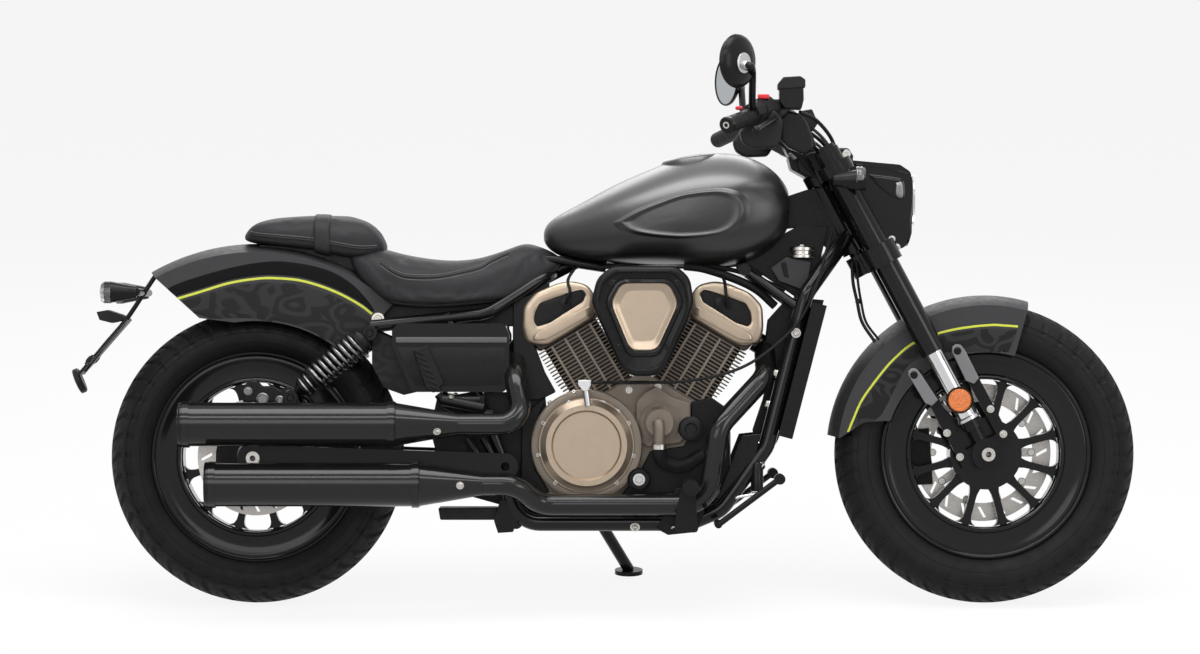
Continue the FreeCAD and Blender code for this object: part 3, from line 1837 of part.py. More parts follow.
def radiator():
    """A radiator core between two side tanks, seated on the front of the down tubes."""
    shoulder = at(s.down_shoulder_x, 0, s.down_shoulder_z)
    knee = at(s.down_knee_x, 0, s.down_knee_z)
    share = (float(s.radiator_z) - knee.z) / (shoulder.z - knee.z)
    on_tube = knee + (shoulder - knee) * share
    tilt = math.degrees(math.atan2(shoulder.x - knee.x, shoulder.z - knee.z))
    turn = Rotation(ALONG_Y, tilt)
    ahead = turn.multVec(ALONG_X) * float(s.frame_tube_radius + s.radiator_depth / 2 + s.seat_gap)
    centre = on_tube + ahead
    core = block(
        "radiator_core",
        centre,
        s.radiator_depth * 0.7,
        s.radiator_width - s.radiator_tank,
        s.radiator_height - s.radiator_tank,
        turn,
    )
    tanks = []
    for tag, sign in (("right", -1), ("left", 1)):
        middle = centre + ALONG_Y * float(sign * (s.radiator_width - s.radiator_tank) / 2)
        tanks.append(
            block(
                "radiator_tank_" + tag,
                middle,
                s.radiator_depth,
                s.radiator_tank,
                s.radiator_height,
                turn,
            )
        )
    return node("radiator", joined("radiator", core, *tanks))


radiator()

# exhaust


def muffler(label, start, end, z):
    """A straight silencer: a tapered front cone, the barrel with its bands, and a hollow end."""
    centre = at(start, -s.muffler_side, z)
    barrel = cylinder(label + "_barrel", centre, ALONG_X, s.muffler_radius, end - start)
    cone = primitive(
        "Cone",
        label + "_cone",
        at(end, -s.muffler_side, z),
        ALONG_X,
        Radius1=s.muffler_radius,
        Radius2=s.pipe_radius,
        Height=s.muffler_cone,
    )
    bands = []
    for i, share in enumerate((0.02, 0.97)):
        place = at(start + (end - start) * share, -s.muffler_side, z)
        bands.append(
            cylinder(
                f"{label}_band_{i}",
                place,
                ALONG_X,
                s.muffler_radius + s.muffler_wall,
                s.muffler_band,
            )
        )
    hollow = cylinder(
        label + "_hollow",
        at(start - s.cut_overrun, -s.muffler_side, z),
        ALONG_X,
        s.muffler_radius - s.muffler_wall,
        s.muffler_cap_depth + s.cut_overrun,
    )
    outlet = cylinder(
        label + "_outlet",
        at(start, -s.muffler_side, z),
        ALONG_X,
        s.pipe_radius * 0.7,
        s.muffler_cap_depth * 3,
    )
    return node(label, without(label, joined(label + "_solid", barrel, cone, *bands), hollow, outlet))


def exhaust_pipes():
    """The two header pipes, from the front and rear heads to the silencers."""
    along = head_middle
    ports = {}
    away = {}
    for sign in (1, -1):
        turn = Rotation(ALONG_Y, sign * float(s.v_half_angle))
        away[sign] = turn.multVec(ALONG_X) * sign
        ports[sign] = on_cylinder(sign, along - s.head_height * 0.2)
        ports[sign] = ports[sign] + away[sign] * float(s.head_length / 2 + s.seat_gap)
    lower_x = s.lower_muffler_end + s.muffler_cone + s.seat_gap
    upper_x = s.upper_muffler_end + s.muffler_cone + s.seat_gap
    low_z = s.case_bottom + s.pipe_radius * 1.4
    pipe_side = s.cradle_side + s.frame_tube_radius + s.pipe_radius + s.joint_gap
    fall_x = s.peg_x + s.peg_radius * 2.2
    front_out = ports[1] + away[1] * float(s.pipe_radius * 1.1)
    front = bent_rod(
        "front_header",
        [
            ports[1],
            front_out,
            at(front_out.x, -s.fin_width * 0.66, front_out.z - float(s.pipe_bend)),
            at(fall_x + s.pipe_radius, -pipe_side, s.crank_z + s.pipe_bend),
            at(fall_x, -pipe_side, low_z),
            at(s.clutch_x - s.clutch_radius, -pipe_side, low_z),
            at(lower_x + s.muffler_cone * 0.5, -s.muffler_side, s.lower_muffler_z),
            at(lower_x, -s.muffler_side, s.lower_muffler_z),
        ],
        s.pipe_radius,
        s.pipe_bend,
    )
    rear_out = ports[-1] + away[-1] * float(s.pipe_radius * 1.6)
    rear = bent_rod(
        "rear_header",
        [
            ports[-1],
            rear_out,
            at(rear_out.x, -pipe_side, rear_out.z - float(s.pipe_bend)),
            at(s.swing_pivot_x + s.pipe_radius * 1.8, -s.muffler_side, s.upper_muffler_z),
            at(upper_x, -s.muffler_side, s.upper_muffler_z),
        ],
        s.pipe_radius,
        s.pipe_bend,
    )
    return node("exhaust_pipes", apart("exhaust_pipes", front, rear))


muffler("upper_muffler", s.upper_muffler_start, s.upper_muffler_end, s.upper_muffler_z)
muffler("lower_muffler", s.lower_muffler_start, s.lower_muffler_end, s.lower_muffler_z)
exhaust_pipes()

# rear suspension and drive


def swingarm():
    """Two arms from the pivot tube to the axle, with the lower shock pins."""
    pivot = at(s.swing_pivot_x, -s.swing_arm_side, s.swing_pivot_z)
    end = at(rear_axle_x, -s.swing_arm_side, rear_axle_z)
    middle = (pivot + end) * 0.5
    slope = math.degrees(math.atan2(pivot.z - end.z, pivot.x - end.x))
    turn = Rotation(ALONG_Y, -slope)
    length = (pivot - end).Length
    arm = doc.addObject("Part::Box", "swing_beam")
    bind(arm, Width=s.swing_arm_width, Height=s.swing_arm_height)
    arm.Length = length
    half = Vector(length / 2, float(s.swing_arm_width / 2), float(s.swing_arm_height / 2))
    arm.Placement = Placement(middle - turn.multVec(half), turn)
    boss = cross_pin("axle_boss", end, s.swing_arm_height / 2 + s.rim_lip / 2, s.swing_arm_width)
    pivot_end = cross_pin("swing_eye", pivot, s.swing_arm_height / 2, s.swing_arm_width)
    lug_inner = s.shock_side - s.shock_eye_width / 2 - s.seat_gap
    lug_low = at(s.shock_bottom_x - s.shock_eye_radius, 0, rear_axle_z)
    lug_high = at(s.shock_bottom_x, 0, s.shock_bottom_z)
    lug_half = Vector(float(s.shock_eye_radius), 0, 0)
    lug_outline = doc.addObject("Part::Feature", "shock_lug_outline")
    lug_outline.Shape = rounded_wire(
        [
            lug_low - lug_half * 1.8,
            lug_low + lug_half * 2.6,
            lug_high + lug_half + Vector(0, 0, lug_half.x),
            lug_high - lug_half + Vector(0, 0, lug_half.x),
        ],
        [0, 0, s.shock_eye_radius * 0.8, s.shock_eye_radius * 0.8],
    )
    lug = slab("shock_lug", lug_outline, s.swing_arm_width / 2, -(lug_inner - s.swing_arm_width / 4))
    pin = rod(
        "shock_bottom_pin",
        at(s.shock_bottom_x, -lug_inner + s.shock_pin_radius / 2, s.shock_bottom_z),
        at(s.shock_bottom_x, -s.shock_side - s.shock_eye_width * 0.6, s.shock_bottom_z),
        s.shock_pin_radius,
    )
    axle_hole = cross_pin(
        "swing_axle_hole", end, s.axle_radius + s.running_fit, s.swing_arm_width * 3
    )
    pin_hole = cross_pin(
        "swing_pin_hole", pivot, s.swing_pin_radius + s.running_fit, s.swing_arm_width * 3
    )
    side = without("swing_side", joined("swing_solid", arm, boss, pivot_end, lug, pin), axle_hole, pin_hole)
    return node("swingarm", both_sides("swingarm", side))


def shock(label, sign):
    """A coil spring round a damper, an eye at each end."""
    side = sign * s.shock_side
    top = at(s.shock_top_x, side, s.shock_top_z)
    bottom = at(s.shock_bottom_x, side, s.shock_bottom_z)
    along = (top - bottom).normalize()
    length = (top - bottom).Length
    eyes = [
        cross_pin(label + "_top_eye", top, s.shock_eye_radius, s.shock_eye_width),
        cross_pin(label + "_bottom_eye", bottom, s.shock_eye_radius, s.shock_eye_width),
    ]
    damper = rod(
        label + "_damper",
        bottom + along * float(s.shock_eye_radius * 1.8),
        top - along * float(s.shock_eye_radius * 1.8),
        s.shock_body_radius,
    )
    neck = s.shock_eye_radius * 0.8
    necks = [
        rod(label + "_bottom_neck", bottom + along * float(neck), bottom + along * float(neck * 3), neck),
        rod(label + "_top_neck", top - along * float(neck), top - along * float(neck * 3), neck),
    ]
    spring_start = bottom + along * (length * 0.3)
    step = length * 0.56 / float(s.shock_coils)
    coils = []
    for i in range(SIZES["shock_coils"]):
        coils.append(
            cylinder(
                f"{label}_coil_{i}",
                spring_start + along * (step * i),
                along,
                s.shock_coil_radius,
                s.shock_wire_radius * 2,
            )
        )
    holes = [
        cross_pin(label + "_top_hole", top, s.shock_pin_radius + s.seat_gap, s.shock_eye_radius * 4),
        cross_pin(
            label + "_bottom_hole", bottom, s.shock_pin_radius + s.seat_gap, s.shock_eye_radius * 4
        ),
    ]
    solid = joined(label + "_solid", damper, *necks, *eyes, *coils)
    return node(label, without(label, solid, *holes))


swingarm()
shock("shock_right", -1)
shock("shock_left", 1)


def drive():
    """The toothed belt on the left, round a small pulley at the engine and a large one at the wheel."""
    side = s.belt_side
    front_centre = at(s.swing_pivot_x + s.front_pulley_radius * 2.2, side, s.swing_pivot_z)
    rear_centre = at(rear_axle_x, side, rear_axle_z)
    run = rear_centre - front_centre
    turn = math.degrees(math.atan2(-run.z, run.x))
    outer_front = s.front_pulley_radius + s.belt_thickness
    outer_rear = s.rear_pulley_radius + s.belt_thickness

    def loop(name, front_radius, rear_radius, width):
        distance = run.Length
        front_radius = float(front_radius)
        rear_radius = float(rear_radius)
        tilt = math.asin((rear_radius - front_radius) / distance)
        up = Vector(-math.sin(tilt), 0, math.cos(tilt))
        down = Vector(-math.sin(tilt), 0, -math.cos(tilt))
        far = Vector(distance, 0, 0)
        front_top = up * front_radius
        front_bottom = down * front_radius
        rear_top = far + up * rear_radius
        rear_bottom = far + down * rear_radius
        edges = [
            Part.Arc(front_bottom, Vector(-front_radius, 0, 0), front_top).toShape(),
            Part.LineSegment(front_top, rear_top).toShape(),
            Part.Arc(rear_top, far + Vector(rear_radius, 0, 0), rear_bottom).toShape(),
            Part.LineSegment(rear_bottom, front_bottom).toShape(),
        ]
        outline = doc.addObject("Part::Feature", name + "_outline")
        outline.Shape = Part.Wire(edges)
        item = slab(name, outline, width)
        item.Placement = Placement(front_centre, Rotation(ALONG_Y, turn))
        return item

    belt = without(
        "drive_belt",
        loop("belt_outer", outer_front, outer_rear, s.belt_width),
        loop(
            "belt_inner",
            s.front_pulley_radius + s.seat_gap,
            s.rear_pulley_radius + s.seat_gap,
            s.belt_width * 2,
        ),
    )
    node("drive_belt", belt)
    front_ring = cross_pin(
        "front_pulley_ring", front_centre, s.front_pulley_radius - s.seat_gap, s.belt_width
    )
    shaft_start = Vector(front_centre.x, float(s.case_half_width + s.seat_gap), front_centre.z)
    shaft = rod("front_pulley_shaft", shaft_start, front_centre, s.front_pulley_radius * 0.4)
    node("front_pulley", joined("front_pulley", front_ring, shaft))
    pulley = cross_pin("pulley_ring", rear_centre, s.rear_pulley_radius - s.belt_thickness, s.belt_width)
    hub = rod(
        "pulley_hub",
        at(rear_axle_x, s.hub_width / 2 + s.seat_gap, rear_axle_z),
        rear_centre,
        s.hub_radius * 0.7,
    )
    hole = cross_pin("pulley_hole", rear_centre, s.axle_nut_radius * 2 + s.seat_gap, s.belt_side * 3)
    node("rear_pulley", without("rear_pulley", joined("pulley_solid", pulley, hub), hole))


drive()

# foot controls, stand, lamps and plate holder


def footpeg(label, sign):
    """A round peg on a hanger plate, which two bosses carry outside the lower frame tube."""
    inner = s.cradle_side + s.frame_tube_radius + s.seat_gap
    plate_side = sign * (s.peg_side - s.peg_plate_thickness / 2)
    width = s.peg_radius * 3
    low = s.cradle_z - s.peg_radius
    outline = side_outline(
        label + "_outline",
        s.peg_x - width * 0.66,
        low,
        width,
        s.peg_z - low + s.peg_radius,
        [(0.0, 0.0), (1.0, 0.0), (0.9, 0.5), (0.86, 1.0), (0.4, 1.0), (0.14, 0.5)],
        s.peg_radius / 2,
    )
    plate = slab(label + "_plate", outline, s.peg_plate_thickness, plate_side)
    bosses = []
    for i, share in enumerate((-0.4, 0.1)):
        start = at(s.peg_x + width * share, sign * inner, s.cradle_z)
        end = Vector(start.x, float(plate_side), start.z)
        bosses.append(rod(f"{label}_boss_{i}", start, end, s.peg_radius * 0.5))
    start = at(s.peg_x, plate_side, s.peg_z)
    end = at(s.peg_x, sign * (s.peg_side + s.peg_length), s.peg_z)
    peg = rod(label + "_peg", start, end, s.peg_radius)
    return node(label, joined(label, peg, plate, *bosses))


footpeg("footpeg_right", -1)
footpeg("footpeg_left", 1)


def foot_lever(label, sign):
    """The brake pedal on the right, the shift lever on the left."""
    side = sign * (s.peg_side + s.pedal_width)
    pivot = at(s.peg_x + s.peg_radius * 3.4, side, s.cradle_z)
    tip = at(s.peg_x + s.peg_length * 1.7, side, s.peg_z + s.pedal_width)
    inner = Vector(pivot.x, float(sign * (s.cradle_side + s.frame_tube_radius + s.seat_gap)), pivot.z)
    shaft = rod(label + "_shaft", inner, pivot, s.pedal_width / 2)
    arm = rod(label + "_arm", pivot, tip, s.pedal_width * 0.4)
    pad_item = cross_pin(label + "_pad", tip, s.pedal_width * 0.7, s.peg_radius * 3)
    return node(label, joined(label, shaft, arm, pad_item))


foot_lever("brake_pedal", -1)
foot_lever("shift_lever", 1)



def side_stand():
    """A leg on a slanted pivot, with a flat foot that lies on the floor when the machine leans."""
    ankle = stand_foot + floor_normal * float(s.stand_foot_thickness)
    leg = rod("stand_leg", stand_pivot, ankle, s.stand_leg_radius)
    foot = cylinder("stand_foot", stand_foot, floor_normal, s.stand_foot_radius, s.stand_foot_thickness)
    eye = cylinder(
        "stand_eye",
        stand_pivot - stand_axis * float(s.stand_eye_width / 2),
        stand_axis,
        s.stand_eye_radius,
        s.stand_eye_width,
    )
    hole = cylinder(
        "stand_hole",
        stand_pivot - stand_axis * float(s.stand_eye_width),
        stand_axis,
        s.stand_pin_radius + s.running_fit,
        s.stand_eye_width * 2,
    )
    return node("side_stand", without("side_stand", joined("stand_solid", leg, foot, eye), hole))


side_stand()


tail_root = rear_axle + at(-s.rear_fender_radius * 0.46, 0, s.rear_fender_radius * 0.9)
tail_knee = tail_root + at(-s.tail_reach, 0, -s.tail_drop)
tail_arm_radius = s.signal_radius * 0.6


def rear_lamps():
    """Bullet turn lamps on stalks from the tail bracket."""
    foot = tail_root + (tail_knee - tail_root) * 0.6
    inner = foot - ALONG_Y * float(tail_arm_radius + s.seat_gap)
    outer = foot - ALONG_Y * float(s.rear_signal_side)
    stalk = rod("rear_signal_stalk", inner, outer, s.signal_stalk_radius)
    lamps = signal("rear_signal", foot.x, -s.rear_signal_side, foot.z, -1)
    return node("rear_signals", both_sides("rear_signals", joined("rear_signal", *lamps, stalk)))


def plate_holder():
    """A bracket from the fender's rear edge to the sloping number plate carrier."""
    long_arm = rod("plate_long_arm", tail_root, tail_knee, tail_arm_radius)
    under = cross_pin(
        "under_fender",
        rear_axle,
        s.rear_fender_radius - s.fender_thickness - s.seat_gap,
        s.rear_fender_width,
    )
    arm = doc.addObject("Part::Common", "plate_arm")
    arm.Base = long_arm
    arm.Tool = under
    turn = Rotation(ALONG_Y, -float(s.plate_slope))
    normal = turn.multVec(ALONG_Z)
    upward = turn.multVec(ALONG_X)
    centre = tail_knee + at(-s.plate_height * 0.49, 0, -s.plate_height * 0.7)
    neck = rod(
        "plate_neck",
        tail_knee,
        centre + upward * float(s.plate_height * 0.3),
        tail_arm_radius * 0.8,
    )
    plate = block("plate", centre, s.plate_height, s.plate_width, s.plate_thickness, turn)
    holes = []
    for tag, sign in (("right", -1), ("left", 1)):
        place = centre + ALONG_Y * float(sign * s.plate_hole_spacing / 2)
        start = place - normal * float(s.plate_thickness)
        holes.append(
            cylinder("plate_hole_" + tag, start, normal, s.plate_hole_radius, s.plate_thickness * 2)
        )
    PLACES["plate_holes"] = (centre, normal)
    solid = joined("plate_solid", arm, neck, plate)
    return node("plate_holder", without("plate_holder", solid, *holes))


rear_lamps()
plate_holder()


def passenger_pegs():
    """Folding pegs for the passenger, on arms from the frame's rear legs."""
    z = s.side_cover_z - s.peg_radius
    leg_x = rear_leg_x((z - s.swing_pivot_z) / (rail_z - s.swing_pivot_z))
    inner = at(leg_x, -(rail_side + s.rear_leg_radius + s.seat_gap), z)
    knee = at(leg_x, -s.peg_side * 0.76, z)
    outer = at(leg_x - s.peg_length * 0.7, -s.peg_side * 0.8, z)
    tip = at(leg_x + s.peg_length * 0.1, -s.peg_side * 0.9, z - s.peg_radius)
    boss = rod("passenger_boss", inner, knee, s.peg_radius * 0.6)
    arm = rod("passenger_arm", knee, outer, s.peg_radius * 0.5)
    peg = rod("passenger_peg", outer, tip, s.peg_radius * 0.7)
    unit = joined("passenger_peg_side", boss, arm, peg)
    return node("passenger_pegs", both_sides("passenger_pegs", unit))


passenger_pegs()

PLACES["front_wheel_spin"] = (front_axle, ALONG_Y)
PLACES["rear_wheel_spin"] = (rear_axle, ALONG_Y)
PLACES["steering"] = (on_fork(s.lower_clamp_along, ahead=-s.fork_offset), fork_up)
PLACES["side_stand_fold"] = (stand_pivot, stand_axis)

PARK = Placement(Vector(), Rotation(ALONG_X, -float(s.lean)))


def park():
    """Leans every sub-part onto the stand and puts the origin under the middle of the whole box."""
    for item in NODES.values():
        item.Placement = PARK.multiply(item.Placement)
    doc.recompute()
    box = FreeCAD.BoundBox()
    for item in NODES.values():
        box.add(item.Shape.optimalBoundingBox(False, False))
    shift = Placement(Vector(-box.Center.x, -box.Center.y, -box.ZMin), Rotation())
    for item in NODES.values():
        item.Placement = shift.multiply(item.Placement)
    doc.recompute()
    return shift.multiply(PARK)


def check():
    for item in doc.Objects:
        if "Invalid" in item.State or "Error" in item.State:
            raise RuntimeError(f"{item.Label} failed: {item.State}")
    for label, item in NODES.items():
        if item.Shape.isNull() or not item.Shape.isValid():
            raise RuntimeError(f"{label} has no valid shape")


def write():
    os.makedirs("parts", exist_ok=True)
    for label, item in NODES.items():
        item.Shape.exportStep(os.path.join("parts", label + ".step"))


doc.recompute()
check()
park()
check()
write()
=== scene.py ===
"""Looks of a cruiser motorcycle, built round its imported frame."""
import json
import math

import bmesh
import bpy
from mathutils import Matrix, Vector
from mathutils.bvhtree import BVHTree


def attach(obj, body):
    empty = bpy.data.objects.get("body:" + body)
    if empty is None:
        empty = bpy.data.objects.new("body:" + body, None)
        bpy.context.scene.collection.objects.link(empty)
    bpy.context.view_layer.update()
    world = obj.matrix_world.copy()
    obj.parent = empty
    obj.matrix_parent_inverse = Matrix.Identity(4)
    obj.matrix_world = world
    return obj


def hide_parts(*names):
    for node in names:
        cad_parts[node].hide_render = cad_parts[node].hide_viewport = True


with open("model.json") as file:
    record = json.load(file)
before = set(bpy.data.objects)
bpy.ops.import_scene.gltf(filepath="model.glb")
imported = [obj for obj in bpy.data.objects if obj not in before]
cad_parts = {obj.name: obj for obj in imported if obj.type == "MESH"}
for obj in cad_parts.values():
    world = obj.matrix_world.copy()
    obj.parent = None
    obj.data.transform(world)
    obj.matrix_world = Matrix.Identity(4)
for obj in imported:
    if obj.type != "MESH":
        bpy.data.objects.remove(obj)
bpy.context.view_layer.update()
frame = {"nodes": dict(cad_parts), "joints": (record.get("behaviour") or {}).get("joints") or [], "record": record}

NODES = frame["nodes"]

# the upright bike frame, in mm: X forward, Y left, Z up, origin on the floor
LEAN = math.radians(10)
MM_PER_PX = 2.1
EYE_DISTANCE = 10600
EYE_PX, EYE_PY = 600, 327
EYE_Z = 578.6
FRONT_AXLE = Vector((806, 0, 314))
REAR_AXLE = Vector((-718, 0, 307.2279))
RAKE = math.radians(28)
FORK_UP = Vector((-math.sin(RAKE), 0, math.cos(RAKE)))
FORK_AHEAD = Vector((math.cos(RAKE), 0, math.sin(RAKE)))
X, Y, Z = Vector((1, 0, 0)), Vector((0, 1, 0)), Vector((0, 0, 1))

TILT = Matrix.Rotation(-LEAN, 4, "X")
REAR_JOINT = next(j for j in frame["joints"] if j["name"] == "rear_wheel_spin")
SHIFT = Vector(REAR_JOINT["pos_m"]) - TILT @ (REAR_AXLE / 1000)
ROW = Matrix.Translation(SHIFT) @ TILT @ Matrix.Scale(0.001, 4)

CHASSIS, STEERING, FRONT_WHEEL, REAR_WHEEL = "chassis", "steering_head", "front_wheel", "rear_wheel"


def at(px, py, y=0.0):
    """The bike-frame place seen at a pixel of the photograph, at a depth y."""
    scale = MM_PER_PX * (EYE_DISTANCE + y) / EYE_DISTANCE
    return Vector(((px - EYE_PX) * scale, y, EYE_Z + (EYE_PY - py) * scale))


def on_fork(along, ahead=0.0, side=0.0):
    return FRONT_AXLE + FORK_UP * along + FORK_AHEAD * ahead + Y * side


# camera, at the photograph's viewing angle

camera = bpy.data.objects.new("camera", bpy.data.cameras.new("camera"))
bpy.context.scene.collection.objects.link(camera)
camera.data.sensor_width = 36
camera.data.lens = camera.data.sensor_width * EYE_DISTANCE / (1200 * MM_PER_PX)
camera.data.clip_end = 200
camera.matrix_world = (
    Matrix.Translation(ROW @ Vector((0, -EYE_DISTANCE, EYE_Z)))
    @ TILT
    @ Matrix.Rotation(math.radians(90), 4, "X")
)
bpy.context.scene.camera = camera
bpy.context.scene.view_settings.view_transform = "Standard"

# materials


class Nodes:
    """A material's node tree with short calls for the nodes used here."""

    def __init__(self, name):
        self.material = bpy.data.materials.new(name)
        self.material.use_nodes = True
        self.tree = self.material.node_tree
        self.shader = self.tree.nodes["Principled BSDF"]
        self.place = self.add("ShaderNodeTexCoord").outputs["Object"]

    def add(self, kind, **sockets):
        node = self.tree.nodes.new(kind)
        for name, value in sockets.items():
            self.feed(node.inputs[name.replace("_", " ")], value)
        return node

    def feed(self, socket, value):
        if isinstance(value, bpy.types.NodeSocket):
            self.tree.links.new(value, socket)
        else:
            socket.default_value = value

    def stretched(self, scale):
        """Coordinates along the leaning bike's own axes, scaled one by one."""
        mapping = self.add("ShaderNodeMapping", Vector=self.place)
        mapping.inputs["Rotation"].default_value = (LEAN, 0, 0)
        mapping.inputs["Scale"].default_value = scale
        return mapping.outputs["Vector"]

    def noise(self, scale, detail=4.0, place=None):
        node = self.add("ShaderNodeTexNoise", Vector=place or self.place, Scale=scale, Detail=detail)
        return node.outputs["Fac"]

    def cells(self, scale, feature="F1"):
        node = self.add("ShaderNodeTexVoronoi", Vector=self.place, Scale=scale)
        node.feature = feature
        return node.outputs["Distance"]

    def math(self, operation, *values):
        node = self.add("ShaderNodeMath")
        node.operation = operation
        for socket, value in zip(node.inputs, values):
            self.feed(socket, value)
        return node.outputs["Value"]

    def ramp(self, value, low, high, start=0.0, end=1.0):
        node = self.add("ShaderNodeMapRange", Value=value)
        node.inputs["From Min"].default_value = start
        node.inputs["From Max"].default_value = end
        node.inputs["To Min"].default_value = low
        node.inputs["To Max"].default_value = high
        return node.outputs["Result"]

    def blend(self, factor, first, second):
        node = self.add("ShaderNodeMix")
        node.data_type = "RGBA"
        self.feed(node.inputs["Factor"], factor)
        self.feed(node.inputs[6], first)
        self.feed(node.inputs[7], second)
        return node.outputs[2]

    def bump(self, height, strength, distance):
        node = self.add("ShaderNodeBump", Height=height, Strength=strength, Distance=distance)
        self.tree.links.new(node.outputs["Normal"], self.shader.inputs["Normal"])

    def set(self, **sockets):
        for name, value in sockets.items():
            self.feed(self.shader.inputs[name.replace("_", " ")], value)


def shade(colour, factor):
    return [channel * factor for channel in colour[:3]] + [1.0]


def finish(colour, rough, metal=0.0, spread=0.12, grain=40, bump=0.0, bump_scale=900, wear=0.0, **sockets):
    """A finish with cloudy colour and roughness, dusty wear in random streaks and a fine grain."""
    n = Nodes("finish")
    cloud = n.noise(grain)
    tone = n.blend(cloud, shade(colour, 1 - spread), shade(colour, 1 + spread))
    if wear:
        streaks = n.ramp(n.noise(grain * 6, 8.0), 0.0, wear, 0.52, 0.8)
        tone = n.blend(streaks, tone, shade(colour, 2.4))
    n.set(Base_Color=tone, Roughness=n.ramp(n.noise(grain * 2.3), rough * 0.84, rough * 1.16, 0.3, 0.7))
    n.set(Metallic=metal, **sockets)
    if bump:
        n.bump(n.noise(bump_scale, 2.0), bump, 0.0004)
    return n.material


def leather(colour):
    """Fine pebbled grain with soft creases."""
    n = Nodes("finish")
    pebble = n.cells(520, "SMOOTH_F1")
    crease = n.noise(70, 6.0)
    n.set(Base_Color=n.blend(crease, shade(colour, 0.8), shade(colour, 1.25)))
    n.set(Roughness=n.ramp(pebble, 0.45, 0.65), IOR=1.26)
    n.bump(n.math("ADD", pebble, n.math("MULTIPLY", crease, 0.6)), 0.35, 0.0006)
    return n.material


def flake_paint_with_painted_sheen(low, high, rough):
    """Satin metallic paint with fine flakes, faded from a light upper side to a dark lower side by the surface's
    facing: a painted highlight above and painted shade below.
    """
    n = Nodes("finish")
    flakes = n.ramp(n.cells(2600), 0, 1, 0.1, 0.6)
    normal = n.add("ShaderNodeNewGeometry").outputs["Normal"]
    facing = n.add("ShaderNodeSeparateXYZ", Vector=normal).outputs["Z"]
    # painted light: colour and metalness rise with the upward facing, a painted highlight on top and painted shade
    # underneath
    painted_sheen_fade = n.ramp(facing, 0, 1, 0.05, 0.95)
    bright = n.blend(painted_sheen_fade, shade(low, 1.3), shade(high, 1.15))
    dull = n.blend(painted_sheen_fade, shade(low, 0.8), shade(high, 0.85))
    n.set(Base_Color=n.blend(flakes, bright, dull))
    n.set(Roughness=n.ramp(n.noise(30), rough * 0.9, rough * 1.1),
        Metallic=n.ramp(facing, 0.2, 0.85, -0.2, 0.4))
    n.set(Coat_Weight=0.25, Coat_Roughness=0.22, Coat_IOR=1.3)
    n.bump(n.noise(380, 2.0), 0.02, 0.0002)
    return n.material


def brushed(colour, rough, stretch):
    """Ground metal with fine lines."""
    n = Nodes("finish")
    lines = n.noise(120, 3.0, n.stretched(stretch))
    n.set(Base_Color=n.blend(lines, shade(colour, 0.8), shade(colour, 1.15)))
    n.set(Roughness=n.ramp(lines, rough * 0.7, rough * 1.35, 0.3, 0.7), Metallic=1.0)
    n.bump(lines, 0.06, 0.0003)
    return n.material


def tonal_paint(colour, motif):
    """Matt paint with a tone-on-tone motif of overlapping leaves, generic and soft."""
    n = Nodes("finish")
    place = n.stretched((14, 0.0, 22))
    warp = n.add("ShaderNodeTexNoise", Vector=place, Scale=0.9, Detail=1.0).outputs["Color"]
    mixed = n.add("ShaderNodeVectorMath", Vector=place)
    mixed.operation = "ADD"
    n.tree.links.new(warp, mixed.inputs[1])
    rings = n.add("ShaderNodeTexVoronoi", Vector=mixed.outputs["Vector"], Scale=1.0).outputs["Distance"]
    wave = n.math("SINE", n.math("MULTIPLY", rings, 17.0))
    leaf = n.ramp(wave, 0.0, 1.0, -0.1, 0.35)
    n.set(Base_Color=n.blend(leaf, shade(colour, 1.0), shade(motif, 1.0)))
    n.set(Roughness=n.ramp(leaf, 0.42, 0.55), Metallic=0.1, IOR=1.26)
    n.bump(n.noise(1500, 2.0), 0.04, 0.0003)
    return n.material


def reflector_plastic(colour):
    """Clear coloured plastic over small prisms, each prism lighter at its middle and darker at its edges: painted
    glints and painted shade on the facets.
    """
    n = Nodes("finish")
    prisms = n.add("ShaderNodeTexVoronoi", Vector=n.place, Scale=420)
    prisms.feature = "F1"
    prisms.distance = "CHEBYCHEV"
    prism = prisms.outputs["Distance"]
    # painted light: lit and shaded copies of the colour across each prism
    n.set(Base_Color=n.blend(n.ramp(prism, 0, 1, 0.1, 0.7), shade(colour, 1.25), shade(colour, 0.55)))
    n.set(Roughness=0.22, Coat_Weight=0.8, Coat_Roughness=0.05, Specular_IOR_Level=0.6)
    n.bump(prism, 0.5, 0.0015)
    return n.material


def glass(colour, rough=0.03):
    n = Nodes("finish")
    n.set(Base_Color=n.blend(n.noise(12), shade(colour, 0.97), shade(colour, 1.0)))
    n.set(Roughness=n.ramp(n.noise(90), rough, rough * 2), Transmission_Weight=0.92, IOR=1.49)
    return n.material


BLACK = (0.006, 0.006, 0.0065)
EXHAUST = (0.007, 0.0068, 0.0065)
DEEP = (0.004, 0.004, 0.0045)
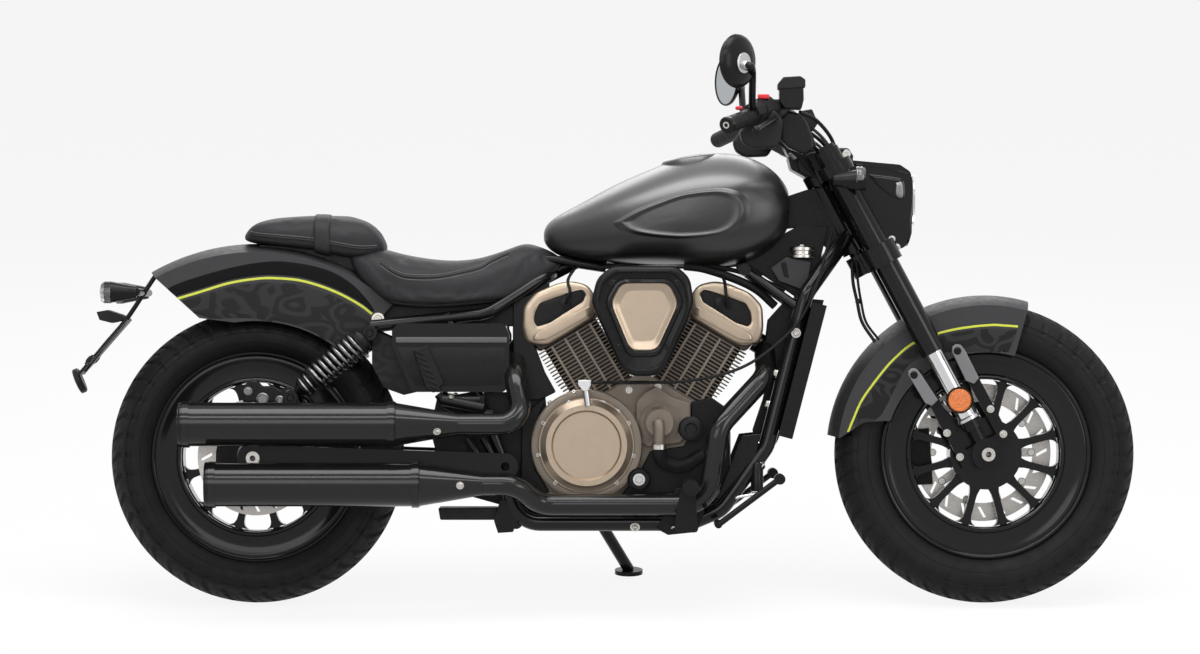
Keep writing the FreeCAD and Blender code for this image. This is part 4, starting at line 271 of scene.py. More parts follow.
# a darker copy of the cast taupe: painted shade for the engine's recessed parts
RECESS_PAINTED_SHADE = (0.045, 0.038, 0.032)
FINISHES = {
    "tyre_rubber": finish((0.0085, 0.0085, 0.009), 0.6, 0, 0.3, 22, 0.3, 1500, 0.1, IOR=1.22),
    "black_gloss": finish(BLACK, 0.13, bump=0.03, bump_scale=1200, IOR=1.3),
    "black_satin": finish(BLACK, 0.29, bump=0.1, bump_scale=1600, IOR=1.24),
    "charcoal_paint": finish((0.034, 0.034, 0.036), 0.5, 0.25, 0.06, bump=0.05, bump_scale=1800, IOR=1.3),
    "champagne": finish((0.34, 0.272, 0.205), 0.33, 0.8, 0.06, bump=0.1, bump_scale=1800),
    "taupe_cast": finish((0.17, 0.143, 0.117), 0.46, 0.5, bump=0.35, bump_scale=1300, wear=0.05, IOR=1.3),
    "bright_steel": brushed((0.46, 0.44, 0.42), 0.3, (1, 1, 14)),
    "black_rubber": finish((0.009, 0.009, 0.009), 0.55, bump=0.35, bump_scale=1100, IOR=1.24),
    "black_plastic": finish((0.009, 0.009, 0.0095), 0.42, bump=0.3, bump_scale=1400, IOR=1.26),
    "seat_cover": leather((0.017, 0.017, 0.0185)),
    "clear_lens": glass((0.9, 0.92, 0.94)),
}
# further finishes, each with the slot that it belongs to
EXTRA = {
    # the tank paint: a painted highlight on upper faces, painted shade on lower faces
    "tank_paint": ("charcoal_paint", flake_paint_with_painted_sheen((0.012, 0.012, 0.0125), (0.13, 0.13, 0.132), 0.36)),
    "exhaust_black": ("black_gloss", finish(EXHAUST, 0.15, bump=0.03, bump_scale=1400, IOR=1.36)),
    "tonal": ("black_satin", tonal_paint((0.0075, 0.0075, 0.008), (0.021, 0.021, 0.0225))),
    "stripe": ("charcoal_paint", finish((0.5, 0.54, 0.05), 0.4, 0, 0.05, 80, Specular_IOR_Level=0.4)),
    # the reflectors' colour carries painted glints and painted shade on their prisms
    "amber": ("clear_lens", reflector_plastic((0.62, 0.14, 0.004))),
    "red": ("clear_lens", reflector_plastic((0.5, 0.012, 0.012))),
    "red_switch": ("black_plastic", finish((0.55, 0.01, 0.02), 0.35, 0, 0.08)),
    "thread": ("seat_cover", finish((0.16, 0.16, 0.16), 0.7, 0, 0.2, 400)),
    "mirror_glass": ("bright_steel", finish((0.42, 0.44, 0.46), 0.03, 1, 0.02)),
    "silver": ("bright_steel", finish((0.5, 0.5, 0.51), 0.32, 1, 0.06, bump=0.08)),
    "silver_dark": ("bright_steel", finish((0.17, 0.17, 0.175), 0.34, 0.9, 0.06, bump=0.08)),
    # the cast taupe darkened: painted shade for the barrel between the fins and the head behind the cover
    "taupe_dark": ("taupe_cast", finish(RECESS_PAINTED_SHADE, 0.5, 0.3, bump=0.3, bump_scale=1300, IOR=1.3)),
    "deep_black": ("black_satin", finish(DEEP, 0.5, bump=0.1, bump_scale=1600, IOR=1.16)),
    "screw": ("bright_steel", finish((0.5, 0.48, 0.45), 0.26, 1, grain=200)),
    "spring": ("bright_steel", finish((0.16, 0.16, 0.165), 0.26, 1, 0.06, bump=0.05)),
    "chrome_look": ("bright_steel", finish((0.6, 0.6, 0.61), 0.11, 1, 0.04, 15)),
    "lamp_white": ("clear_lens", glass((0.86, 0.87, 0.88), 0.12)),
}
LOOKS = {name: (name, material) for name, material in FINISHES.items()} | EXTRA
for name, (_, material) in LOOKS.items():
    material.name = name

for row in frame["record"]["subparts"]:
    data = NODES[row["node"]].data
    data.materials.clear()
    data.materials.append(FINISHES[row["material_slot"]])

# makers of shapes


class Form:
    """Vertices in the bike frame, in mm, and faces, gathered from simple shapes."""

    def __init__(self):
        self.verts = []
        self.faces = []

    def rings(self, rings, loop=False, caps=True):
        """Skins closed rings of equal length, one to the next."""
        start = len(self.verts)
        count = len(rings[0])
        for ring in rings:
            self.verts.extend(ring)
        pairs = len(rings) if loop else len(rings) - 1
        for i in range(pairs):
            a, b = start + i * count, start + (i + 1) % len(rings) * count
            self.faces.extend((a + j, a + k, b + k, b + j) for j, k in enumerate([*range(1, count), 0]))
        if caps and not loop:
            self.faces.append(tuple(range(start + count - 1, start - 1, -1)))
            last = start + (len(rings) - 1) * count
            self.faces.append(tuple(range(last, last + count)))
        return self

    def lathe(self, profile, origin, axis=Y, steps=48, loop=False, caps=True):
        """Turns (radius, height) pairs about an axis."""
        axis = Vector(axis).normalized()
        side = axis.orthogonal().normalized()
        other = axis.cross(side)
        turns = [2 * math.pi * i / steps for i in range(steps)]
        rings = []
        for radius, height in profile:
            centre = Vector(origin) + axis * height
            rings.append([centre + side * (radius * math.cos(a)) + other * (radius * math.sin(a))
                for a in turns])
        return self.rings(rings, loop, caps)

    def prism(self, outline, depth):
        """A closed outline of places, given a thickness: a vector's length to each side."""
        return self.rings([[p - depth for p in outline], [p + depth for p in outline]])

    def box(self, centre, size, turn=Matrix.Identity(3)):
        start = len(self.verts)
        for corner in [(sx, sy, sz) for sx in (-1, 1) for sy in (-1, 1) for sz in (-1, 1)]:
            local = Vector([sign * length / 2 for sign, length in zip(corner, size)])
            self.verts.append(centre + turn @ local)
        for face in ((0, 1, 3, 2), (4, 6, 7, 5), (0, 4, 5, 1), (2, 3, 7, 6), (0, 2, 6, 4), (1, 5, 7, 3)):
            self.faces.append(tuple(start + i for i in face))
        return self

    def tube(self, route, radius, sides=12):
        """A round bar along a route; its frame is carried from ring to ring."""
        side = None
        rings = []
        turns = [2 * math.pi * i / sides for i in range(sides)]
        for i, point in enumerate(route):
            ahead = (route[min(i + 1, len(route) - 1)] - route[max(i - 1, 0)]).normalized()
            side = (ahead.orthogonal() if side is None else side - ahead * side.dot(ahead)).normalized()
            other = ahead.cross(side)
            rings.append([point + side * (radius * math.cos(a)) + other * (radius * math.sin(a))
                for a in turns])
        return self.rings(rings)

    def bolt(self, place, axis, radius, height, sides=6):
        """A bolt head on its washer, with a sunk drive."""
        washer, sunk = [(1.45, 0), (1.45, 0.22)], [(1, 0), (1, 0.85), (0.85, 1), (0.52, 1), (0.45, 0.45)]
        for profile, steps in ((washer, 20), (sunk, sides)):
            self.lathe([(radius * r, height * h) for r, h in profile], place, axis, steps)
        return self

    def mirrored(self):
        """The same shape with its copy on the bike's other side."""
        start = len(self.verts)
        self.verts += [Vector((v.x, -v.y, v.z)) for v in self.verts]
        self.faces += [tuple(start + i for i in reversed(face)) for face in list(self.faces)]
        return self


def smooth(points, steps=8):
    """A rounded route through a few places (Catmull-Rom)."""
    points = [Vector(p) for p in points]
    ends = [points[0] * 2 - points[1]] + points + [points[-1] * 2 - points[-2]]
    route = []
    for a, b, c, d in zip(ends, ends[1:], ends[2:], ends[3:]):
        for i in range(steps):
            t = i / steps
            square, cube = 2 * a - 5 * b + 4 * c - d, 3 * b - a - 3 * c + d
            route.append(0.5 * (2 * b + (c - a) * t + square * t ** 2 + cube * t ** 3))
    return route + [points[-1]]


def outline_at(pixels, y):
    return [at(px, py, y) for px, py in pixels]


def sided(place, sign):
    """A place at the same distance from the middle plane, on the left (1) or the right (-1)."""
    return Vector((place.x, abs(place.y) * sign, place.z))


def wheel_way(turn):
    """The unit direction in a wheel's plane at a turn about its axle."""
    return Vector((math.cos(turn), 0, math.sin(turn)))


def piece(name, form, look="black_satin", body=CHASSIS, hides=(), bevel=0.0, levels=0, sharp=38):
    """Makes the object, in metres in the row frame, and gives it its finish and its body."""
    own_slot, material = LOOKS[look]
    name = name.replace(" ", "_")
    mesh = bpy.data.meshes.new(name)
    mesh.from_pydata([ROW @ v for v in form.verts], [], form.faces)
    work = bmesh.new()
    work.from_mesh(mesh)
    bmesh.ops.remove_doubles(work, verts=work.verts, dist=1e-6)
    bmesh.ops.recalc_face_normals(work, faces=work.faces)
    work.to_mesh(mesh)
    work.free()
    mesh.shade_smooth()
    mesh.set_sharp_from_angle(angle=math.radians(sharp))
    thing = bpy.data.objects.new(name, mesh)
    bpy.context.scene.collection.objects.link(thing)
    mesh.materials.append(material)
    if bevel:
        edge = thing.modifiers.new("edge", "BEVEL")
        edge.width = bevel / 1000
        edge.segments = 2
        edge.limit_method = "ANGLE"
        edge.angle_limit = math.radians(sharp)
        edge.harden_normals = True
    if levels:
        fine = thing.modifiers.new("fine", "SUBSURF")
        fine.levels = fine.render_levels = levels
    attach(thing, body)
    if hides:
        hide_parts(*hides)
    return thing


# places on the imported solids, found along the photograph's lines of sight

EYE = ROW @ Vector((0, -EYE_DISTANCE, EYE_Z))
BACK = ROW.inverted()
TREES = {}


def tree_of(node):
    if node not in TREES:
        mesh = NODES[node].data
        TREES[node] = BVHTree.FromPolygons([v.co for v in mesh.vertices], [p.vertices for p in mesh.polygons])
    return TREES[node]


def seen(nodes, px, py):
    """The place and outward direction where a pixel's sight line first meets a node, or one of several."""
    nodes = (nodes,) if isinstance(nodes, str) else nodes
    aim = ROW @ at(px, py) - EYE
    hits = [tree_of(node).ray_cast(EYE, aim) for node in nodes]
    hits = [hit for hit in hits if hit[0] is not None]
    if not hits:
        guess = ROW @ at(px, py, -100)
        hits = [tree_of(node).find_nearest(guess) for node in nodes]
        hits = [(spot, normal, index, (spot - guess).length) for spot, normal, index, _ in hits]
    spot, normal, _, _ = min(hits, key=lambda hit: hit[3])
    if normal.dot(aim) > 0:
        normal = -normal
    return BACK @ spot, (BACK.to_3x3() @ normal).normalized()


def even(points, count):
    """The places of a polyline shared out evenly along it."""
    points = [Vector(p) for p in points]
    lengths = [0.0]
    for a, b in zip(points, points[1:]):
        lengths.append(lengths[-1] + (b - a).length)
    spread = []
    i = 0
    for step in range(count):
        goal = lengths[-1] * step / (count - 1)
        while i < len(points) - 2 and lengths[i + 1] < goal:
            i += 1
        run = lengths[i + 1] - lengths[i] or 1.0
        spread.append(points[i].lerp(points[i + 1], min(1.0, (goal - lengths[i]) / run)))
    return spread


def curve_px(pixels, count):
    return even(smooth([Vector((px, py, 0)) for px, py in pixels], 8), count)


def sheet(form, rows, columns, closed=False):
    """Joins rows of vertices into faces."""
    for i in range(rows - 1):
        for j in range(columns if closed else columns - 1):
            a, k = i * columns, (j + 1) % columns
            form.faces.append((a + j, a + k, a + columns + k, a + columns + j))
    return form


def paired(form, both):
    return form.mirrored() if both else form


def laid(name, node, top, low, shares, sunk, lift, look, body):
    """A thin layer over a node between two pixel lines, on both sides; its edges dip under the surface."""
    form = Form()
    for share in shares:
        for a, b in zip(top, low):
            pixel = a.lerp(b, share)
            spot, normal = seen(node, pixel.x, pixel.y)
            form.verts.append(spot + normal * (-sunk if share in (0, 1) else lift))
    return piece(name, sheet(form, len(shares), len(top)).mirrored(), look, body, sharp=50)


def skin(name, node, upper, lower, look, body, columns, rows, lift):
    shares = [i / (rows - 1) for i in range(rows)]
    return laid(name, node, curve_px(upper, columns), curve_px(lower, columns), shares, 0.25, lift, look,
        body)


def line_on(name, node, pixels, width, look, body, columns, lift=0.7):
    """A painted line of a width in pixels along a route over a node."""
    route = curve_px(pixels, columns)
    sides = ([], [])
    for i, spot in enumerate(route):
        ahead = (route[min(i + 1, columns - 1)] - route[max(i - 1, 0)]).normalized()
        across = Vector((-ahead.y, ahead.x, 0)) * width / 2
        sides[0].append(spot + across)
        sides[1].append(spot - across)
    return laid(name, node, *sides, (0, 0.12, 0.5, 0.88, 1), 0.2, lift, look, body)


def relief(name, node, outline, profile, look, body, both=False, columns=120):
    """A pressed form inside a closed outline: profile gives (share of the way out, lift) pairs."""
    ring = even(smooth([Vector((px, py, 0)) for px, py in outline + outline[:1]], 8), columns + 1)[:-1]
    centre = sum(ring, Vector()) / columns
    form = Form()
    for share, lift in profile:
        for pixel in ring:
            inner = centre.lerp(pixel, share)
            spot, normal = seen(node, inner.x, inner.y)
            form.verts.append(spot + normal * lift)
    form = paired(sheet(form, len(profile), columns, closed=True), both)
    return piece(name, form, look, body, sharp=60)


def bolts(name, node, pixels, radius, height, body=CHASSIS, sides=6, both=False):
    """Bolt heads where the photograph shows them, square to the surface they sit on."""
    form = Form()
    for px, py in pixels:
        spot, normal = seen(node, px, py)
        form.bolt(spot - normal * 0.6, normal, radius, height, sides)
    return piece(name, paired(form, both), "screw", body, sharp=30)


# tyres


def arc_2d(a, b, c, steps):
    """Places along the arc through three places of a plane."""
    squares = [x * x + y * y for x, y in (a, b, c)]
    rises = (b[1] - c[1], c[1] - a[1], a[1] - b[1])
    runs = (c[0] - b[0], a[0] - c[0], b[0] - a[0])
    d = 2 * sum(place[0] * rise for place, rise in zip((a, b, c), rises))
    ux = sum(square * rise for square, rise in zip(squares, rises)) / d
    uy = sum(square * run for square, run in zip(squares, runs)) / d
    radius = math.hypot(a[0] - ux, a[1] - uy)
    turns = [math.atan2(y - uy, x - ux) for x, y in (a, b, c)]
    for i in (1, 2):
        turns[i] += 2 * math.pi * round((turns[i - 1] - turns[i]) / (2 * math.pi))
    sweep = turns[2] - turns[0]
    along = [turns[0] + sweep * i / steps for i in range(steps + 1)]
    return [(ux + radius * math.cos(turn), uy + radius * math.sin(turn)) for turn in along]


def groove(step, across, fine):
    """Depth of the tread pattern at a step round the tyre and a place across it."""
    far = abs(across)
    phase = step / fine + (0.5 if across > 0 else 0.0) + 0.6 * far ** 1.5
    near = phase % 1.0
    lateral = 0.2 < far < 0.985 and abs(near - 0.5) < 0.1
    slit = 0.42 < far < 0.8 and min(near, 1 - near) < 0.06
    return 4.0 if lateral or 0.1 < far < 0.17 else 2.2 if slit else 0.0


def tyre(name, node, centre, radius, width, crown, rim_width, pitch, body):
    """The same section as the solid, with shoulder grooves, moulded lines and bead rings."""
    bead = rim_width / 2 - 7.3
    inner, flange = 203.3, 218.3
    shoulder = width / 2 * 0.74
    drop = crown - math.sqrt(crown ** 2 - shoulder ** 2)
    wall = flange + (radius - flange) * 0.42
    side = arc_2d((bead, flange), (width / 2, wall), (shoulder, radius - drop), 14)
    top = arc_2d((shoulder, radius - drop), (0, radius), (-shoulder, radius - drop), 36)[1:-1]
    section = [(y, r, y / shoulder if abs(y) <= shoulder else None) for y, r in side + top]
    section += [(-y, r, None) for y, r in reversed(side)]
    reach = side[-7][1]
    fine = 12
    steps = pitch * fine
    form = Form()
    count = len(section)
    for i in range(steps):
        turn = 2 * math.pi * i / steps
        for y, r, across in section:
            if across is None and r > reach:
                across = math.copysign(1.0, y) * 0.97
            depth = groove(i, across, fine) if across is not None else 0.0
            form.verts.append(centre + wheel_way(turn) * (r - depth) + Y * y)
    for i in range(steps):
        for j in range(count - 1):
            a, b = i * count + j, (i + 1) % steps * count + j
            form.faces.append((a, b, b + 1, a + 1))
    form.lathe([(flange, bead), (inner, bead), (inner, -bead), (flange, -bead)], centre, Y, 120, caps=False)
    for sign in (-1, 1):
        for share, size in ((0.1, 1.8), (0.17, 1.0), (0.45, 0.9), (0.62, 0.7), (0.78, 1.4)):
            y, r = side[round(share * 14)]
            loop = [(r - size * 1.3, 0), (r, size), (r + size * 1.3, 0), (r, -size)]
            form.lathe([(a, sign * (y + b)) for a, b in loop], centre, Y, 96, loop=True)
    return piece(name, form, "tyre_rubber", body, hides=(node,), sharp=28)


tyre("front tyre tread", "front_tyre", FRONT_AXLE, 314, 130, 75, 89, 44, FRONT_WHEEL)
tyre("rear tyre tread", "rear_tyre", REAR_AXLE, 307, 156, 90, 108, 42, REAR_WHEEL)

# paint and trim

# the tank takes the paint with a painted highlight above and painted shade below
NODES["fuel_tank"].data.materials[0] = LOOKS["tank_paint"][1]
for node in ("upper_muffler", "lower_muffler", "exhaust_pipes"):
    NODES[node].data.materials[0] = LOOKS["exhaust_black"][1]


def moved(pixels, down):
    return [(px, py + down) for px, py in pixels]


STRIPE_REAR = [(166, 304), (177, 299), (200, 292), (230, 283), (260, 278.5), (280, 278.5), (300, 280.5),
    (320, 286), (340, 294), (360, 305), (372, 314)]
CREASE = [(165, 289), (185, 280), (230, 267), (270, 260.5), (300, 262.5), (330, 270), (352, 283), (368, 300),
    (375, 311)]
REAR_EDGE = [(178, 309), (203, 317), (215, 320), (250, 320), (290, 326), (320, 338), (345, 352), (362, 366)]
STRIPE_FRONT = [(1018, 326.5), (1005, 325.6), (990.6, 325.1), (963, 328), (936.5, 334), (912, 344),
    (894, 359), (880, 375), (862, 400), (853, 420), (848, 432)]
FRONT_EDGE = [(1008, 353), (990, 354), (970, 353), (940, 354), (915, 361), (903, 374), (885, 411), (877, 420),
    (868, 427), (856, 431)]
line_on("rear stripe", "rear_fender", STRIPE_REAR, 2.6, "stripe", CHASSIS, 110)
skin("rear fender band", "rear_fender", CREASE, moved(STRIPE_REAR, -2.2), "deep_black", CHASSIS, 90, 8, 0.35)
skin("rear fender motif", "rear_fender", moved(STRIPE_REAR[1:], 2.4), REAR_EDGE, "tonal", CHASSIS, 90, 10,
    0.4)
line_on("front stripe", "front_fender", STRIPE_FRONT, 2.4, "stripe", STEERING, 120)
skin("front fender motif", "front_fender", moved(STRIPE_FRONT[:-1], 2.2), FRONT_EDGE, "tonal", STEERING, 90,
    10, 0.4)

TEARDROP = [(622, 222), (640, 212), (660, 204), (680, 197), (700, 193.5), (720, 192.5), (734, 197),
    (740, 208), (737, 220), (727, 229), (710, 233.5), (680, 235.5), (650, 233), (632, 229)]
PRESSED = [(1.22, -0.4), (1.13, 0.5), (1.07, 3.0), (1.03, 4.6), (0.99, 4.6), (0.94, 2.4), (0.88, 0.7),
    (0.8, 0.4), (0.5, 0.4), (0.2, 0.4), (0.0, 0.4)]
# the teardrop panel takes the tank paint, with its painted highlight above and painted shade below
relief("tank panel", "fuel_tank", TEARDROP, PRESSED, "tank_paint", CHASSIS, both=True)

# seats


def seat_section(px, top, bottom, half, swell=0.0, sides=40):
    """A cushion's cross-section: a soft crown, full flanks and a flatter base."""
    high = at(px, top - swell / MM_PER_PX, -60)
    low = at(px, bottom + swell / MM_PER_PX, -60)
    half = half + swell
    middle = low.z + (high.z - low.z) * 0.36
    ring = []
    for i in range(sides):
        turn = 2 * math.pi * i / sides
        c, s = math.cos(turn), math.sin(turn)
        y = half * math.copysign(abs(c) ** 0.6, c)
        z = middle + (high.z - middle) * s ** 0.72 if s >= 0 else middle - (middle - low.z) * (-s) ** 0.4
        ring.append(Vector((high.x, y, z)))
    return ring


def between(stations, px):
    for a, b in zip(stations, stations[1:]):
        if a[0] <= px <= b[0]:
            t = (px - a[0]) / (b[0] - a[0])
            return [u + (v - u) * t for u, v in zip(a, b)]
    return list(stations[-1])


def middle_of(ring):
    return sum(ring[1:], ring[0]) / len(ring)


def cushion(name, stations, node):
    """A closed cushion through its stations, with lips at both ends; filled out by a cloth simulation."""
    heights = smooth([Vector(row[:3]) for row in stations], 3)
    widths = smooth([Vector((row[0], row[3], 0)) for row in stations], 3)
    rings = [seat_section(a.x, a.y, a.z, b.y) for a, b in zip(heights, widths)]
    for end, inner in ((0, 1), (-1, -2)):
        centre = middle_of(rings[end])
        outward = (centre - middle_of(rings[inner])).normalized()
        lips = [[centre + (p - centre) * share + outward * shift for p in rings[end]]
                for share, shift in ((0.86, 3.0), (0.55, 5.0), (0.2, 5.6))]
        rings = lips[::-1] + rings if end == 0 else rings + lips
    seat = piece(name, Form().rings(rings), "seat_cover", hides=(node,), levels=1, sharp=180)
    fill_out(seat)
    return seat


def copy_of_shown(thing):
    """A new mesh of an object as its modifiers show it."""
    return bpy.data.meshes.new_from_object(thing.evaluated_get(bpy.context.evaluated_depsgraph_get()))


def fill_out(seat):
    """Swells a cushion by a short cloth simulation; no point ends further than a cap from its start."""
    scene = bpy.context.scene
    shrink, cap, voxel, pressure, base_slope, last_frame = 0.001, 0.005, 0.006, 4, -0.4, 20
    body = bpy.data.objects.new("swelling", copy_of_shown(seat))
    scene.collection.objects.link(body)
    grid = body.modifiers.new("grid", "REMESH")
    grid.mode = "VOXEL"
    grid.voxel_size = voxel
    even_mesh = copy_of_shown(body)
    body.modifiers.clear()
    body.data = even_mesh
    normals = [v.normal.copy() for v in even_mesh.vertices]
    base = [i for i, n in enumerate(normals) if n.z < base_slope]
    for v, n in zip(even_mesh.vertices, normals):
        if n.z >= base_slope:
            v.co -= n * shrink
    start = [v.co.copy() for v in even_mesh.vertices]
    body.vertex_groups.new(name="base").add(base, 1.0, "REPLACE")
    cloth = body.modifiers.new("cloth", "CLOTH")
    cloth.settings.use_pressure = True
    cloth.settings.uniform_pressure_force = pressure
    cloth.settings.effector_weights.gravity = 0
    cloth.settings.vertex_group_mass = "base"
    cloth.collision_settings.use_collision = False
    for step in range(1, last_frame + 1):
        scene.frame_set(step)
    full = copy_of_shown(body)
    for v, before in zip(full.vertices, start):
        move = v.co - before
        if move.length > cap:
            v.co = before + move.normalized() * cap
    scene.frame_set(1)
    full.shade_smooth()
    cover = seat.data.materials[0]
    full.materials.clear()
    full.materials.append(cover)
    seat.data = full
    bpy.data.objects.remove(body)


# (pixel x, top pixel y, bottom pixel y, half width in mm)
RIDER = [
    (352, 250, 266, 84), (360, 249.5, 279, 100), (372, 249.5, 291, 116), (388, 251.5, 304, 130),
    (400, 255, 307, 139), (420, 259, 308, 146), (440, 261.5, 308, 149), (460, 262, 307, 147),
    (480, 259.5, 305, 137), (500, 253.5, 303, 120), (512, 249, 301, 106), (525, 244.8, 298, 90),
    (540, 247.5, 288, 72), (550, 252, 278, 58), (560, 257, 266, 44),
]
PILLION = [
    (245, 233, 240, 56), (249, 227, 242, 72), (256, 222, 243.5, 84), (270, 219, 245.5, 92),
    (290, 217.3, 248, 96), (315, 216, 251, 98), (340, 216.6, 257, 98), (358, 217.5, 259, 96),
    (368, 220.5, 258, 92), (377, 228.5, 256, 84), (384, 240, 253, 70),
]


def tree_of_piece(thing):
    shown = thing.evaluated_get(bpy.context.evaluated_depsgraph_get())
    mesh = shown.to_mesh()
    tree = BVHTree.FromPolygons([v.co.copy() for v in mesh.vertices],
        [tuple(p.vertices) for p in mesh.polygons])
    shown.to_mesh_clear()
    return tree


rider = cushion("rider cushion", RIDER, "rider_seat")
pillion = cushion("pillion cushion", PILLION, "pillion_seat")
TREES["rider"] = tree_of_piece(rider)
TREES["pillion"] = tree_of_piece(pillion)


def cord_on(name, node, pixels, radius, lift=0.3, count=60):
    """Piping laid on a surface, on both sides."""
    route = [seen(node, p.x, p.y) for p in curve_px(pixels, count)]
    form = Form().tube([spot + normal * lift for spot, normal in route], radius, 8)
    return piece(name, form.mirrored(), "seat_cover")


def stitches(name, node, pixels, pitch=5.0, samples=120, thread=0.65):
    """Thread seen as short raised dashes along a seam, on both sides."""
    route = [seen(node, p.x, p.y) for p in curve_px(pixels, samples)]
    places = [spot + normal * 0.5 for spot, normal in route]
    normals = [normal for spot, normal in route]
    length = sum((b - a).length for a, b in zip(places, places[1:]))
    form = Form()
    count = int(length / pitch)
    marks = even(places, count)
    for i, (a, b) in enumerate(zip(marks, marks[1:])):
        dash = (b - a).normalized() * pitch * 0.3
        normal = normals[min(samples - 1, round(i * (samples - 1) / count))]
        middle = (a + b) / 2
        ends = ((-1, 0.5), (-0.5, 0), (0.5, 0), (1, 0.5))
        form.tube([middle + dash * share - normal * sunk for share, sunk in ends], thread, 5)
    return piece(name, form.mirrored(), "thread")


RIDER_PIPING = [(381, 263), (390, 270), (400, 275), (410, 277), (430, 277.5), (445, 276), (460, 273),
    (480, 268), (492, 261), (508, 253.5)]
RIDER_WELT = [(388, 301), (410, 304), (440, 304.5), (480, 302), (512, 298), (528, 293)]
PILLION_PIPING = [(250, 234), (262, 236), (285, 238), (312, 240.5), (340, 245.5), (360, 248.5), (377, 248)]
cord_on("rider piping", "rider", RIDER_PIPING, 2.2)
stitches("rider thread", "rider", moved(RIDER_PIPING, 2.6))
stitches("rider thread above", "rider", moved(RIDER_PIPING[1:-1], -2.6))
cord_on("rider base welt", "rider", RIDER_WELT, 1.8)
cord_on("pillion piping", "pillion", PILLION_PIPING, 2.0)
stitches("pillion thread", "pillion", moved(PILLION_PIPING, -2.6))

# the grab strap over the pillion seat: (pixel x, swell), with two stitched channels
STRAP = [(314.5, -1), (315, 4.6), (317, 5.6), (319, 5.6), (320, 5.0), (321, 5.6), (326, 5.6), (327, 5.0),
    (328, 5.6), (330.5, 4.6), (331, -1)]
strap = [seat_section(px, *between(PILLION, px)[1:], swell) for px, swell in STRAP]
piece("pillion strap", Form().rings(strap, caps=False), "seat_cover", levels=1, sharp=180)

# screws and bolts

SCREWS = [(569, 402), (603, 402), (618, 411), (629, 423), (634, 456), (617, 483), (555, 483), (538, 455),
    (543, 423), (546, 398)]
CASE_BOLTS = [(574, 393), (527, 438), (527, 467), (641, 408), (672, 404), (683, 405), (677, 438), (644, 439),
    (658, 387), (629, 390), (639, 479.5)]
FRAME_BOLTS = [(503, 525), (635, 527), (674, 527), (796, 333), (752, 367), (760, 402), (751, 441), (761, 466),
    (522, 375)]
BOLTED = ("main_frame", "footpeg_right", "swingarm", "engine_case", "radiator", "brake_pedal")
bolts("clutch cover screws", "clutch_cover", SCREWS, 4.2, 5.5, sides=18)
bolts("case bolts", ("engine_case", "pump_cover", "clutch_cover"), CASE_BOLTS, 5.0, 6.0)
bolts("frame bolts", BOLTED, FRAME_BOLTS, 7.0, 8.0)
bolts("fender bolt", ("rear_fender", "main_frame", "side_cover_right"), [(378, 319)], 9.0, 9.0, both=True)

# frame and body trim


def route_px(points):
    """Places from (pixel x, pixel y, depth) triples."""
    return [at(px, py, y) for px, py, y in points]


def plate(name, pixels, y, thickness, look="black_satin", body=CHASSIS, bevel=1.2, both=False):
    """A flat plate square to the machine's side, drawn in pixels at a depth."""
    form = Form().prism(outline_at(pixels, y), Y * (thickness / 2))
    return piece(name, paired(form, both), look, body, bevel=bevel)


def hose(name, routes, radius, sides=10, look="black_rubber", body=CHASSIS, both=False, hides=()):
    """Round bars, hoses or cables through (pixel x, pixel y, depth) places."""
    form = Form()
    for route in routes:
        form.tube(smooth(route_px(route)), radius, sides)
    return piece(name, paired(form, both), look, body, hides=hides)


def turned(name, profile, place, axis, steps, look="black_satin", body=CHASSIS, caps=True, both=False,
           bevel=0.0, hides=()):
    """A shape turned from (radius, height) pairs."""
    form = Form().lathe(profile, place, axis, steps, caps=caps)
    return piece(name, paired(form, both), look, body, bevel=bevel, hides=hides)


def node_box(node):
    """A node's box in the bike frame."""
    places = [BACK @ v.co for v in NODES[node].data.vertices]
    return [Vector([pick(p[i] for p in places) for i in range(3)]) for pick in (min, max)]


def met(node, start, aim):
    """The place and outward direction where a line in the bike frame first meets a node."""
    way = (ROW.to_3x3() @ Vector(aim)).normalized()
    spot, normal, _, _ = tree_of(node).ray_cast(ROW @ Vector(start), way)
    if spot is None:
        return None, None
    normal = (BACK.to_3x3() @ normal).normalized()
    return BACK @ spot, -normal if normal.dot(Vector(aim)) > 0 else normal


plate("seat rail panel", [(372, 329), (392, 338), (417, 392), (404, 395), (384, 388), (372, 366)], -112, 4,
    "tonal", both=True)
# the side cover's bevel band takes the tank paint, so its upward-facing strip shows a painted highlight
BEVEL = [(325, -133), (326.5, -138), (332, -143.5), (339, -149), (342.5, -149.6), (343, -146), (325, -130)]
band = Form().rings([[at(px, py, depth) for py, depth in BEVEL] for px, _ in even([(396, 0), (507, 0)], 12)])
piece("side cover bevel", band.mirrored(), "tank_paint")
skin("side cover panel", "side_cover_right", [(397, 346), (440, 346), (480, 346), (505, 346)],
    [(416, 387), (440, 387.5), (480, 387.5), (502, 386)], "black_satin", CHASSIS, 30, 6, 1.2)
plate("neck gusset", [(744, 262), (772, 240), (798, 226), (828, 226), (815, 285), (801, 300)], -27, 5,
    both=True)
plate("filler panel", [(786, 257), (811, 262), (806, 291), (779, 281), (771, 268)], -58, 3, "charcoal_paint")
